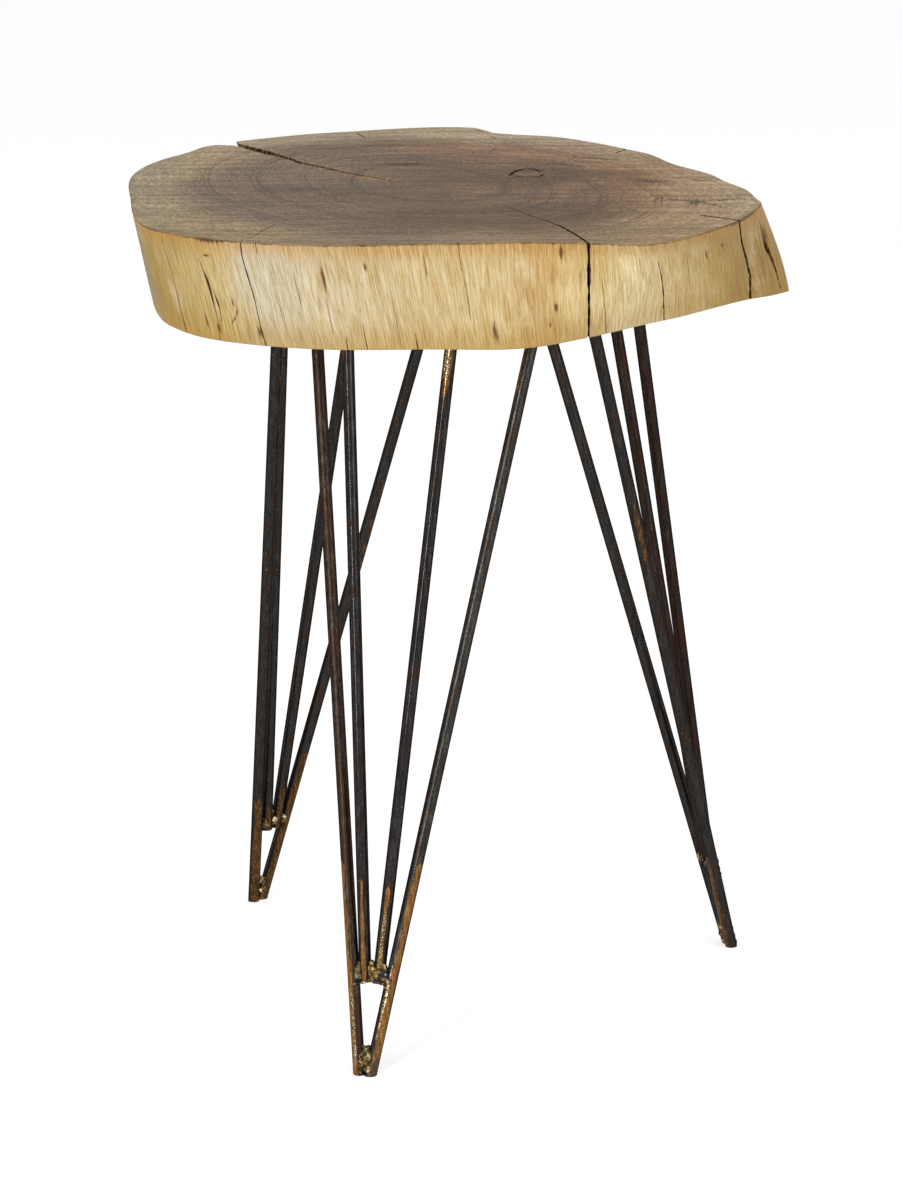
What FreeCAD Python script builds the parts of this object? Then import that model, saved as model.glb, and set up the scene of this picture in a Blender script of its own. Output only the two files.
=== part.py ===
import FreeCAD, Part

import math
import os

from FreeCAD import Placement, Rotation, Vector

# A side table: one thick slice of a tree trunk on three welded legs, each made of four
# thin steel rods. Lengths are in millimetres, the floor is at zero, and the origin lies
# on the floor under the middle of the slab.

SIZES = [
    ("table_height", 600, "floor to the top face"),
    ("slab_thickness", 70, "top face to underside"),
    ("slab_radius", 230, "radius that the shares of the rim follow"),
    ("slab_lean", 21, "how far the trunk leans sideways between the two faces"),
    ("rear_crack_width", 6, "width of the rear crack at the rim"),
    ("front_crack_width", 2, "width of the front crack at the rim"),
    ("rod_diameter", 8, "all leg rods"),
    ("foot_radius", 216, "middle of the table to each foot"),
    ("foot_spacing", 8.4, "between the two outer rods on the floor"),
    ("outer_top_radius", 80, "middle of the table to the outer rods, at the slab"),
    ("outer_top_spread", 166, "between the two outer rods, at the slab"),
    ("inner_top_radius", 128, "middle of the table to the inner rods, at the slab"),
    ("inner_top_spread", 77, "between the two inner rods, at the slab"),
    ("inner_foot_height", 60.5, "floor to the lower ends of the inner rods"),
    ("inner_foot_spacing", 9, "between the lower ends of the inner rods"),
    ("inner_foot_inset", 1.5, "how far these ends stand inside the outer rods"),
    ("bridge_height", 17, "length of the weld that joins the four rods"),
    ("bridge_drop", 3, "how far that weld hangs below the inner rods"),
    ("bridge_depth", 6, "thickness of that weld between the rods"),
    ("bead_width", 8, "width of one bead of weld"),
    ("bead_depth", 9, "depth of one bead of weld"),
    ("foot_weld_height", 18, "length of the weld that closes the foot"),
    ("foot_weld_depth", 6, "thickness of the weld that closes the foot"),
    ("foot_weld_lift", 1.5, "floor to the lower end of that weld"),
    ("foot_bead_width", 7, "width of the bead on the outside of the foot"),
    ("weld_gap", 0.1, "clearance between a weld and the rods it holds"),
    ("top_weld_height", 4, "height of the weld round the top of a rod"),
    ("top_weld_reach", 2.6, "how far that weld spreads on the plate"),
    ("plate_thickness", 4, "mounting plates"),
    ("plate_margin", 14, "plate outside the tops of the rods"),
    ("plate_corner", 9, "corner radius of the plates"),
    ("screw_diameter", 4.5, "shank of the wood screws"),
    ("screw_length", 32, "under the head to the point"),
    ("screw_point", 6, "tapered end of the shank"),
    ("screw_head_diameter", 8.4, "pan head"),
    ("screw_head_height", 3, "pan head"),
    ("screw_head_round", 1.2, "rounding of the pan head"),
    ("recess_width", 1.2, "one slot of the cross recess"),
    ("recess_length", 5, "one slot of the cross recess"),
    ("recess_depth", 1.6, "cross recess"),
    ("outer_screw_inset", 28, "from an outer rod's top to its screw, along the plate"),
    ("inner_screw_inset", 12, "from an inner rod's top to its screw, along the plate"),
    ("screw_play", 0.2, "radial clearance round a screw"),
    ("overrun", 5, "how far cutting shapes run past what they cut"),
]

# The rim goes anticlockwise round the middle of the three legs, in stretches that meet at
# its sharp corners. A row is a direction in degrees and a share of the slab radius at the
# top face, then the same two at the underside.
RIM_SHARES = [
    # right corner, then the flat right and rear side
    [
        (-20, 1.002, -12.3, 1.065),
        (-17, 0.974, -9.5, 1.035),
        (-8.6, 0.916, -4.5, 0.985),
        (-1.5, 0.857, -0.5, 0.945),
        (5.4, 0.830, 4.9, 0.921),
        (14.7, 0.783, 13.2, 0.871),
        (22, 0.761, 19.7, 0.846),
        (29, 0.770, 26.0, 0.851),
        (36, 0.787, 32.4, 0.862),
        (42.6, 0.791, 38.5, 0.861),
        (53, 0.812, 48.2, 0.870),
        (60, 0.833, 54.9, 0.882),
        (66.6, 0.850, 61.2, 0.891),
        (75, 0.852, 69.2, 0.880),
        (80.6, 0.874, 74.8, 0.893),
    ],
    # step out at the rear
    [
        (80.6, 0.874, 74.8, 0.893),
        (83.6, 0.935, 78.1, 0.949),
        (85, 0.961, 79.6, 0.973),
    ],
    # rear, as far as the rear crack
    [
        (85, 0.961, 79.6, 0.973),
        (90, 0.971, 84.6, 0.975),
        (100, 0.967, 94.6, 0.955),
        (110, 0.961, 104.7, 0.934),
        (120, 0.983, 115.2, 0.940),
        (130, 1.002, 125.8, 0.946),
        (133.4, 1.012, 129.4, 0.952),
    ],
    # the two lips of the rear crack
    [
        (133.4, 1.012, 129.4, 0.952),
        (135.9, 0.939, 131.7, 0.876),
    ],
    [
        (135.9, 0.939, 131.7, 0.876),
        (137.6, 1.010, 133.8, 0.945),
    ],
    # left end and the left half of the front, as far as the front crack
    [
        (137.6, 1.010, 133.8, 0.945),
        (140.7, 1.024, 137.2, 0.955),
        (147, 1.004, 143.9, 0.929),
        (153, 1.009, 150.4, 0.928),
        (159, 1.013, 157.0, 0.928),
        (165, 1.013, 163.5, 0.925),
        (170, 1.009, 169.0, 0.919),
        (179, 0.997, 178.9, 0.906),
        (192, 0.998, 197.0, 0.951),
        (200, 1.026, 203.5, 0.980),
        (207, 1.061, 209.2, 1.009),
        (213, 1.100, 214.6, 1.042),
        (218, 1.119, 220.7, 1.069),
        (222, 1.120, 225.7, 1.083),
        (228, 1.110, 232.1, 1.084),
        (236, 1.078, 240.4, 1.067),
        (247, 1.029, 251.3, 1.036),
        (254, 0.990, 258.1, 1.008),
        (261, 0.955, 264.7, 0.989),
        (268, 0.941, 271.1, 0.988),
        (277, 0.942, 278.7, 1.006),
        (285, 0.965, 285.8, 0.993),
        (290, 1.007, 291.7, 0.957),
        (292.8, 1.033, 295.5, 0.938),
    ],
    # the bulge to the right of the front crack, undercut towards the right corner
    [
        (292.8, 1.033, 295.5, 0.938),
        (297, 1.094, 305.0, 0.902),
        (300, 1.130, 312.2, 0.890),
        (305, 1.133, 320.3, 0.900),
        (311, 1.109, 328.2, 0.914),
        (316.5, 1.089, 334.6, 0.938),
        (323, 1.070, 340.1, 0.978),
        (329, 1.045, 343.7, 1.024),
        (336, 1.023, 346.4, 1.052),
        (340, 1.002, 347.7, 1.065),
    ],
]

# A crack's row is a direction in degrees, a share of the slab radius, and the share of the
# crack's width that is left there. It starts outside the rim and ends near the heart.
REAR_CRACK_SHARES = [
    (136.7, 1.060, 1.25),
    (137.0, 0.944, 1.00),
    (139.3, 0.734, 0.45),
    (144.5, 0.580, 0.34),
    (159.6, 0.362, 0.22),
    (183.4, 0.183, 0.06),
]
FRONT_CRACK_SHARES = [
    (292.6, 1.120, 1.10),
    (292.8, 1.033, 1.00),
    (294.9, 0.872, 0.75),
    (296.0, 0.648, 0.50),
    (292.2, 0.401, 0.15),
]

# The legs were bent and welded by hand, so no two are alike. Each has its name, its
# direction in degrees, the share of the foot radius at which it stands, and the share of the
# foot radius by which its top is moved outwards. Then come its two sides, each with the
# sideways moves of its outer and its inner rod at the slab, as shares of the outer spread.
LEG_SHARES = [
    ("right", 13.9, 0.997, -0.010, [("front", -0.002, 0.006), ("rear", 0.000, -0.002)]),
    ("left", 134.2, 1.029, 0.030, [("right", 0.010, -0.006), ("left", 0.022, -0.004)]),
    ("front", 252.2, 0.980, -0.038, [("left", 0.031, 0.008), ("right", 0.034, 0.017)]),
]


def make_sheet():
    """The spreadsheet that holds the driving dimensions."""
    table = document.addObject("Spreadsheet::Sheet", "Sizes")
    for row, (name, value, note) in enumerate(SIZES, start=1):
        table.set(f"A{row}", name)
        table.set(f"B{row}", str(value))
        table.setAlias(f"B{row}", name)
        table.set(f"C{row}", note)
    document.recompute()
    return table


def size(name):
    """The value of one driving dimension."""
    return float(getattr(sheet, name))


def polar(direction, distance, height=0):
    """The point at a direction in degrees and a distance from the middle."""
    angle = math.radians(direction)
    return Vector(distance * math.cos(angle), distance * math.sin(angle), height)


def plane_of(body, role):
    """One of the body's own origin planes."""
    for feature in body.Origin.OriginFeatures:
        if feature.Role == role:
            return feature


def new_sketch(body, name, role="XY_Plane", lift=None):
    """A sketch on one of the body's origin planes, lifted by an expression if one is given."""
    sketch = body.newObject("Sketcher::SketchObject", name)
    sketch.AttachmentSupport = [(plane_of(body, role), "")]
    sketch.MapMode = "FlatFace"
    if lift:
        sketch.setExpression("AttachmentOffset.Base.z", lift)
    return sketch


def add_polygon(sketch, corners):
    """Closed straight lines through the corners."""
    for start, end in zip(corners, corners[1:] + corners[:1]):
        sketch.addGeometry(Part.LineSegment(start, end), False)


def add_circle(sketch, centre, diameter):
    """A full circle."""
    sketch.addGeometry(Part.Circle(centre, Vector(0, 0, 1), diameter / 2), False)


# The slab

def rim_curves(column):
    """The rim at one face: a line or a smooth curve for each stretch."""
    curves = []
    for stretch in RIM_SHARES:
        points = [polar(row[column], row[column + 1] * size("slab_radius")) for row in stretch]
        if len(points) == 2:
            curves.append(Part.LineSegment(points[0], points[1]))
        else:
            curve = Part.BSplineCurve()
            curve.interpolate(points)
            curves.append(curve)
    return curves


def crack_outline(rows, width, shift):
    """The closed outline of a crack: down one side, and back up the other."""
    middle = [polar(direction, share * size("slab_radius")) for direction, share, _ in rows]
    left_side = []
    right_side = []
    for index, (_, _, width_share) in enumerate(rows):
        before = middle[max(index - 1, 0)]
        after = middle[min(index + 1, len(middle) - 1)]
        along = (after - before).normalize()
        across = Vector(-along.y, along.x, 0) * (width * width_share / 2)
        left_side.append(middle[index] + across + shift)
        right_side.append(middle[index] - across + shift)
    return left_side + right_side[::-1]


def add_crack(body, name, rows, width):
    """Cuts one crack through the slab, leaning as the trunk does."""
    lower = new_sketch(body, name + "Under")
    add_polygon(lower, crack_outline(rows, width, Vector(size("slab_lean"), 0, 0)))
    upper = new_sketch(body, name + "Over", lift="Sizes.slab_thickness")
    add_polygon(upper, crack_outline(rows, width, Vector(0, 0, 0)))
    cut = body.newObject("PartDesign::SubtractiveLoft", name)
    cut.Profile = lower
    cut.Sections = [upper]
    cut.Ruled = True
    return cut


def make_slab():
    """The slice of trunk, with its cracks and the pilot holes for the screws."""
    body = document.addObject("PartDesign::Body", "Slab")
    body.Label = "slab"
    underside = new_sketch(body, "RimUnder")
    for curve in rim_curves(2):
        underside.addGeometry(curve, False)
    top = new_sketch(body, "RimOver", lift="Sizes.slab_thickness")
    for curve in rim_curves(0):
        top.addGeometry(curve, False)
    blank = body.newObject("PartDesign::AdditiveLoft", "Trunk")
    blank.Profile = underside
    blank.Sections = [top]
    blank.Ruled = True
    add_crack(body, "RearCrack", REAR_CRACK_SHARES, size("rear_crack_width"))
    add_crack(body, "FrontCrack", FRONT_CRACK_SHARES, size("front_crack_width"))
    document.recompute()
    before = body.Shape.Volume
    holes = new_sketch(body, "PilotHoles")
    for leg in legs:
        for spot in leg["screws"]:
            add_circle(holes, leg["turn"].multVec(spot), size("screw_diameter") + 2 * size("screw_play"))
    pocket = body.newObject("PartDesign::Pocket", "Pilots")
    pocket.Profile = holes
    pocket.Reversed = True
    pocket.setExpression("Length", "Sizes.screw_length - Sizes.plate_thickness + Sizes.screw_play")
    document.recompute()
    print("slab volume", round(before), "and with pilot holes", round(body.Shape.Volume))
    return body


# The legs. A leg is drawn with X pointing away from the middle of the table and Y across it,
# then turned to its direction.

def leg_places(name, direction, foot_share, top_share, sides):
    """The ends of the rods, both outer ones first, and the places of the screws of one leg."""
    shift = top_share * size("foot_radius")
    foot = foot_share * size("foot_radius")
    spread = size("outer_top_spread")
    outer_top = size("outer_top_radius") + shift
    inner_top = size("inner_top_radius") + shift
    climb = size("inner_foot_height") / underside_height
    inner_foot = foot + (outer_top - foot) * climb - size("inner_foot_inset")
    outer_rods = []
    inner_rods = []
    screws = []
    for sign, (side, outer_share, inner_share) in zip((-1, 1), sides):
        outer_rods.append((
            f"{name}_leg_outer_rod_{side}",
            Vector(foot, sign * size("foot_spacing") / 2, 0),
            Vector(outer_top, sign * spread / 2 + outer_share * spread, underside_height),
        ))
        inner_rods.append((
            f"{name}_leg_inner_rod_{side}",
            Vector(inner_foot, sign * size("inner_foot_spacing") / 2, size("inner_foot_height")),
            Vector(inner_top, sign * size("inner_top_spread") / 2 + inner_share * spread, underside_height),
        ))
        screws.append(Vector(outer_top, sign * (spread / 2 - size("outer_screw_inset")), 0))
        screws.append(Vector(inner_top, sign * (size("inner_top_spread") / 2 - size("inner_screw_inset")), 0))
    return {
        "name": name,
        "turn": Rotation(Vector(0, 0, 1), direction),
        "outer_top": outer_top,
        "inner_top": inner_top,
        "rods": outer_rods + inner_rods,
        "screws": screws,
    }


def cylinder_between(name, start, end, diameter, turn, longer=0):
    """A round bar from start to end in the leg's frame, run on by the same length at both ends."""
    direction = (end - start).normalize()
    bar = document.addObject("Part::Cylinder", name)
    bar.setExpression("Radius", f"{diameter} / 2")
    bar.Height = (end - start).Length + 2 * longer
    tilt = Rotation(Vector(0, 0, 1), direction)
    bar.Placement = Placement(centre + turn.multVec(start - direction * longer), turn.multiply(tilt))
    return bar


def level_block(name, low, high):
    """A block wider than the table between two heights, for cutting level ends."""
    block = document.addObject("Part::Box", name)
    block.setExpression("Length", "Sizes.slab_radius * 4")
    block.setExpression("Width", "Sizes.slab_radius * 4")
    block.Height = high - low
    corner = Vector(size("slab_radius") * 2, size("slab_radius") * 2, 0)
    block.Placement = Placement(Vector(0, 0, low) - corner, Rotation())
    return block


def make_rods(leg):
    """The four rods of one leg, cut level at the floor and under the mounting plate."""
    finished = []
    for label, start, end in leg["rods"]:
        bar = cylinder_between("Bar_" + label, start, end, "Sizes.rod_diameter", leg["turn"], size("overrun"))
        block = level_block("Span_" + label, start.z, plate_height)
        rod = document.addObject("Part::Common", label)
        rod.Base = bar
        rod.Tool = block
        rod.Label = label
        finished.append(rod)
    return finished


def rod_point(leg, number, height):
    """The point on the axis of one of the leg's rods at a height."""
    _, start, end = leg["rods"][number]
    return start + (end - start) * ((height - start.z) / (end.z - start.z))


def between(leg, first, second, height):
    """The point halfway between the axes of two of the leg's rods at a height."""
    return (rod_point(leg, first, height) + rod_point(leg, second, height)) / 2


def weld_frame(leg):
    """The turn of a weld: its Y runs up between the outer rods, and its Z points outwards."""
    up = (between(leg, 0, 1, underside_height) - between(leg, 0, 1, 0)).normalize()
    across = Vector(0, 1, 0)
    return Rotation(across, up, across.cross(up), "YXZ")


def bead(name, middle, across, depth, tall, leg):
    """One bead of weld: an ellipsoid of three diameters, upright between the rods."""
    blob = document.addObject("Part::Ellipsoid", name)
    blob.setExpression("Radius1", f"{depth} / 2")
    blob.setExpression("Radius2", f"{across} / 2")
    blob.setExpression("Radius3", f"{tall} / 2")
    blob.Placement = Placement(centre + leg["turn"].multVec(middle), leg["turn"].multiply(weld_frame(leg)))
    return blob


def web(name, low, high, depth, leg):
    """The metal between the outer rods from one height to another, as wide as they stand."""
    block = document.addObject("Part::Wedge", name)
    foot = between(leg, 0, 1, low)
    narrow = (rod_point(leg, 1, low) - rod_point(leg, 0, low)).Length / 2
    wide = (rod_point(leg, 1, high) - rod_point(leg, 0, high)).Length / 2
    block.Xmin = -narrow
    block.Xmax = narrow
    block.X2min = -wide
    block.X2max = wide
    block.Zmin = -depth / 2
    block.Zmax = depth / 2
    block.Z2min = -depth / 2
    block.Z2max = depth / 2
    block.Ymin = 0
    block.Ymax = (between(leg, 0, 1, high) - foot).Length
    block.Placement = Placement(centre + leg["turn"].multVec(foot), leg["turn"].multiply(weld_frame(leg)))
    return block


def rod_seats(leg):
    """The space that each rod takes in a weld: the rod with the weld's clearance all round."""
    seats = []
    wider = "(Sizes.rod_diameter + 2 * Sizes.weld_gap)"
    for label, start, end in leg["rods"]:
        bar = cylinder_between("Room_" + label, start, end, wider, leg["turn"], size("overrun"))
        block = level_block("Reach_" + label, start.z - size("weld_gap"), underside_height)
        seat = document.addObject("Part::Common", "Seat_" + label)
        seat.Base = bar
        seat.Tool = block
        seats.append(seat)
    return seats


def cut_by_rods(label, solids, seats):
    """The fused solids with a seat cut for each rod that passes through them."""
    mass = document.addObject("Part::MultiFuse", "Mass_" + label)
    mass.Shapes = solids
    rods = document.addObject("Part::MultiFuse", "Seats_" + label)
    rods.Shapes = seats
    weld = document.addObject("Part::Cut", label)
    weld.Base = mass
    weld.Tool = rods
    weld.Label = label
    return weld


def make_bridge_weld(leg, seats):
    """The weld that joins the lower ends of the inner rods to the outer rods: a web and
    three beads, one in each valley on the outside."""
    label = leg["name"] + "_leg_bridge_weld"
    low = size("inner_foot_height") - size("bridge_drop")
    high = low + size("bridge_height")
    middle = (low + high) / 2
    outwards = weld_frame(leg).multVec(Vector(0, 0, (size("rod_diameter") - size("bridge_depth")) / 2))
    solids = [web("Web_" + label, low, high, size("bridge_depth"), leg)]
    for number, (first, second) in enumerate(((0, 2), (2, 3), (3, 1)), start=1):
        solids.append(bead(
            f"Bead_{label}_{number}", between(leg, first, second, middle) + outwards,
            "Sizes.bead_width", "Sizes.bead_depth", "Sizes.bridge_height", leg,
        ))
    return cut_by_rods(label, solids, seats)


def make_foot_weld(leg, seats):
    """The weld that closes the narrow gap between the outer rods above the floor."""
    label = leg["name"] + "_leg_foot_weld"
    low = size("foot_weld_lift")
    high = low + size("foot_weld_height")
    middle = between(leg, 0, 1, (low + high) / 2)
    outwards = weld_frame(leg).multVec(Vector(0, 0, (size("rod_diameter") - size("foot_weld_depth")) / 2))
    solids = [
        web("Web_" + label, low, high, size("foot_weld_depth"), leg),
        bead(
            "Bead_" + label, middle + outwards,
            "Sizes.foot_bead_width", "Sizes.foot_weld_depth", "Sizes.foot_weld_height", leg,
        ),
    ]
    return cut_by_rods(label, solids, seats)


def make_top_welds(leg, seats):
    """The four fillets of weld round the tops of the rods, under the mounting plate."""
    cones = []
    label = leg["name"] + "_leg_top_welds"
    height = plate_height - size("top_weld_height")
    for number, (rod_label, _, _) in enumerate(leg["rods"]):
        top = rod_point(leg, number, plate_height)
        cone = document.addObject("Part::Cone", "Fillet_" + rod_label)
        cone.setExpression("Radius1", "Sizes.rod_diameter / 2 + 3 * Sizes.weld_gap")
        cone.setExpression("Radius2", "Sizes.rod_diameter / 2 + Sizes.top_weld_reach")
        cone.setExpression("Height", "Sizes.top_weld_height")
        cone.Placement = Placement(centre + leg["turn"].multVec(Vector(top.x, top.y, height)), leg["turn"])
        cones.append(cone)
    return cut_by_rods(label, cones, seats)


def make_plate(leg):
    """The mounting plate: a flat trapezium with round corners and four screw holes."""
    body = document.addObject("PartDesign::Body", "Plate_" + leg["name"])
    body.Label = leg["name"] + "_leg_mounting_plate"
    margin = size("plate_margin")
    back = leg["outer_top"] - margin
    front = leg["inner_top"] + margin
    wide = size("outer_top_spread") / 2 + margin
    narrow = size("inner_top_spread") / 2 + margin
    outline = new_sketch(body, "Outline_" + leg["name"])
    add_polygon(outline, [
        Vector(back, -wide, 0),
        Vector(leg["outer_top"] + margin, -wide, 0),
        Vector(front, -narrow, 0),
        Vector(front, narrow, 0),
        Vector(leg["outer_top"] + margin, wide, 0),
        Vector(back, wide, 0),
    ])
    pad = body.newObject("PartDesign::Pad", "Sheet_" + leg["name"])
    pad.Profile = outline
    pad.setExpression("Length", "Sizes.plate_thickness")
    document.recompute()
    corners = body.newObject("PartDesign::Fillet", "Corners_" + leg["name"])
    corners.Base = (pad, [
        f"Edge{number}" for number, edge in enumerate(pad.Shape.Edges, start=1)
        if abs(edge.Vertexes[0].Z - edge.Vertexes[-1].Z) > size("plate_thickness") / 2
    ])
    corners.setExpression("Radius", "Sizes.plate_corner")
    document.recompute()
    holes = new_sketch(body, "Holes_" + leg["name"])
    for spot in leg["screws"]:
        add_circle(holes, spot, size("screw_diameter") + 2 * size("screw_play"))
    pocket = body.newObject("PartDesign::Pocket", "Drilled_" + leg["name"])
    pocket.Profile = holes
    pocket.Reversed = True
    pocket.Type = "ThroughAll"
    body.Placement = Placement(centre + Vector(0, 0, plate_height), leg["turn"])
    document.recompute()
    return body


def make_screw():
    """One pan-head wood screw, point up, with the underside of its head at zero."""
    body = document.addObject("PartDesign::Body", "Screw")
    profile = new_sketch(body, "ScrewProfile", "XZ_Plane")
    shank = size("screw_diameter") / 2
    head = size("screw_head_diameter") / 2
    shoulder = size("screw_length") - size("screw_point")
    add_polygon(profile, [
        Vector(0, -size("screw_head_height"), 0),
        Vector(head, -size("screw_head_height"), 0),
        Vector(head, 0, 0),
        Vector(shank, 0, 0),
        Vector(shank, shoulder, 0),
        Vector(0, size("screw_length"), 0),
    ])
    turned = body.newObject("PartDesign::Revolution", "Turned")
    turned.Profile = profile
    turned.ReferenceAxis = (profile, ["V_Axis"])
    turned.Angle = 360
    document.recompute()
    rounded = body.newObject("PartDesign::Fillet", "HeadRound")
    rounded.Base = (turned, [
        f"Edge{number}" for number, edge in enumerate(turned.Shape.Edges, start=1)
        if edge.BoundBox.ZMax < -size("screw_head_height") / 2 and edge.BoundBox.XLength > head
    ])
    rounded.setExpression("Radius", "Sizes.screw_head_round")
    document.recompute()
    before = body.Shape.Volume
    recess = new_sketch(body, "Recess", lift="-Sizes.screw_head_height")
    arm = size("recess_length") / 2
    half = size("recess_width") / 2
    add_polygon(recess, [
        Vector(arm, -half, 0), Vector(arm, half, 0), Vector(half, half, 0), Vector(half, arm, 0),
        Vector(-half, arm, 0), Vector(-half, half, 0), Vector(-arm, half, 0), Vector(-arm, -half, 0),
        Vector(-half, -half, 0), Vector(-half, -arm, 0), Vector(half, -arm, 0), Vector(half, -half, 0),
    ])
    pocket = body.newObject("PartDesign::Pocket", "CrossRecess")
    pocket.Profile = recess
    pocket.Reversed = True
    pocket.setExpression("Length", "Sizes.recess_depth")
    document.recompute()
    print("screw volume", round(before, 1), "and with its recess", round(body.Shape.Volume, 1))
    return body


def make_screws(leg):
    """Four copies of the screw, with their heads under the plate of one leg."""
    copies = []
    for spot in leg["screws"]:
        place = centre + leg["turn"].multVec(spot) + Vector(0, 0, plate_height)
        copy = screw.Shape.copy()
        copy.Placement = Placement(place, leg["turn"])
        copies.append(copy)
    group = document.addObject("Part::Feature", "Screws_" + leg["name"])
    group.Shape = Part.makeCompound(copies)
    group.Label = leg["name"] + "_leg_screws"
    return group


def check(objects):
    """Stops if any object failed or any piece is missing or damaged."""
    for item in document.Objects:
        if "Invalid" in item.State or "Error" in item.State:
            raise RuntimeError(f"{item.Name} failed: {item.State}")
    for piece in objects:
        if piece.Shape.isNull() or not piece.Shape.isValid():
            raise RuntimeError(f"{piece.Label} has no sound shape")


document = FreeCAD.newDocument("SideTable")
sheet = make_sheet()

underside_height = size("table_height") - size("slab_thickness")
plate_height = underside_height - size("plate_thickness")

legs = [leg_places(*row) for row in LEG_SHARES]
slab = make_slab()

# The origin lies under the middle of the slab, so the middle of the legs stands beside it.
bounds = slab.Shape.optimalBoundingBox(False)
centre = Vector(-bounds.Center.x, -bounds.Center.y, 0)
slab.Placement = Placement(centre + Vector(0, 0, underside_height), Rotation())
print("middle of the legs from the origin", round(centre.x, 2), round(centre.y, 2))

pieces = [slab]
screw = make_screw()
for leg in legs:
    seats = rod_seats(leg)
    pieces.extend(make_rods(leg))
    pieces.append(make_bridge_weld(leg, seats))
    pieces.append(make_foot_weld(leg, seats))
    pieces.append(make_top_welds(leg, seats))
    pieces.append(make_plate(leg))
    pieces.append(make_screws(leg))
document.recompute()
check(pieces)

os.makedirs("parts", exist_ok=True)
for piece in pieces:
    piece.Shape.exportStep(f"parts/{piece.Label}.step")
    box = piece.Shape.optimalBoundingBox(False)
    print(
        piece.Label, "solids", len(piece.Shape.Solids), "volume", round(piece.Shape.Volume, 1),
        "x", round(box.XMin, 1), round(box.XMax, 1), "y", round(box.YMin, 1), round(box.YMax, 1),
        "z", round(box.ZMin, 2), round(box.ZMax, 2),
    )
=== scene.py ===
# %% [markdown]
# # A side table: one slice of a tree on three legs of steel rod
# The real table is a slice sawn across a trunk, with its bark pulled off, on three legs.
# Each leg is four steel rods that meet in a point at the floor. The CAD model already says
# where every piece is and how large. This lesson dresses it: the slab gets its grain, its
# cracks and its worn edges, and the steel gets its rust and its lumpy welds.

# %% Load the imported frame
import math

import bpy
import numpy as np
from mathutils import Matrix, Vector, noise
from mathutils.bvhtree import BVHTree


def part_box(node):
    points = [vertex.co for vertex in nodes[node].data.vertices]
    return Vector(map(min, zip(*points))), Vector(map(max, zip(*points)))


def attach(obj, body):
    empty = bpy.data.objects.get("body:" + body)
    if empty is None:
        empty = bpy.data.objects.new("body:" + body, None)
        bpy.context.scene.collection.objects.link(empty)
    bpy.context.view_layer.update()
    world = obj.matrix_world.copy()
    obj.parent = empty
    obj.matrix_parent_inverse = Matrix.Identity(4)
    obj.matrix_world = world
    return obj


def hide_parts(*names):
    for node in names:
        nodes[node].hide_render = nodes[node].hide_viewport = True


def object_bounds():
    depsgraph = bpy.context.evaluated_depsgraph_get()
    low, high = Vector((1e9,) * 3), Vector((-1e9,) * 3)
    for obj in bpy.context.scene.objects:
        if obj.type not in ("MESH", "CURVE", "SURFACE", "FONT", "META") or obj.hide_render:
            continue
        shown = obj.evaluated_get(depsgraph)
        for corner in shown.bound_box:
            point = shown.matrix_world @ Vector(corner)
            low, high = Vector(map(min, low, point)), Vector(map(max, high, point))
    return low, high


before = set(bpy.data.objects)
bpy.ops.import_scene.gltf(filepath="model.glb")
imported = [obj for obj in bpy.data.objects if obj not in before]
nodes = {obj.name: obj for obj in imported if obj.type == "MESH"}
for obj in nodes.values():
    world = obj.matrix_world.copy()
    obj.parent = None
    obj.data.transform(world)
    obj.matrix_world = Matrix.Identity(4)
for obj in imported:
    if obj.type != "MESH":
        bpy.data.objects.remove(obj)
cad_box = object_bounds()
print("frame:", len(nodes), "nodes, from", tuple(cad_box[0]), "to", tuple(cad_box[1]))

# %% [markdown]
# ## The camera
# The photograph was taken from standing height, about three metres away, with a long lens:
# the rods hardly converge and the top is seen very flat. The camera stands there, looks
# down by about sixteen degrees and leans by less than half a degree.

# %% Camera
LOOK_DOWN = 0.2842
CAMERA_LEAN = -0.0079
aim = Matrix.Rotation(math.pi / 2 - LOOK_DOWN, 3, "X") @ Matrix.Rotation(CAMERA_LEAN, 3, "Z")
bpy.ops.object.camera_add(location=(-0.00569, -3.08712, 1.19101), rotation=aim.to_euler())
camera = bpy.context.object
camera.data.sensor_width = 36
camera.data.lens = 131.84
camera.data.shift_x = -0.0004
camera.data.shift_y = 0.0016
camera.data.clip_end = 60
bpy.context.scene.camera = camera
print("camera at", tuple(round(value, 3) for value in camera.location))

# %% [markdown]
# ## Colours and nodes
# A colour picked on a screen is an sRGB value, while Blender's sockets take linear numbers,
# so one function turns the first into the second. A second function adds one shader node
# with its settings, its values and its links, so that each material below reads as a list.
# Most looks are then layers: a pattern decides where one colour lies over another.

# %% Helpers for materials
def linear(hex_colour):
    """The linear numbers of an sRGB hex colour."""
    parts = [int(hex_colour[place:place + 2], 16) / 255 for place in (1, 3, 5)]
    return [p / 12.92 if p <= 0.04045 else ((p + 0.055) / 1.055) ** 2.4 for p in parts] + [1]


def put(socket, value):
    """Give a socket a link, a colour or a number."""
    if isinstance(value, bpy.types.Node):
        value = next(one for one in value.outputs if one.enabled)
    if isinstance(value, bpy.types.NodeSocket):
        socket.id_data.links.new(value, socket)
    else:
        socket.default_value = linear(value) if isinstance(value, str) else value


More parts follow.
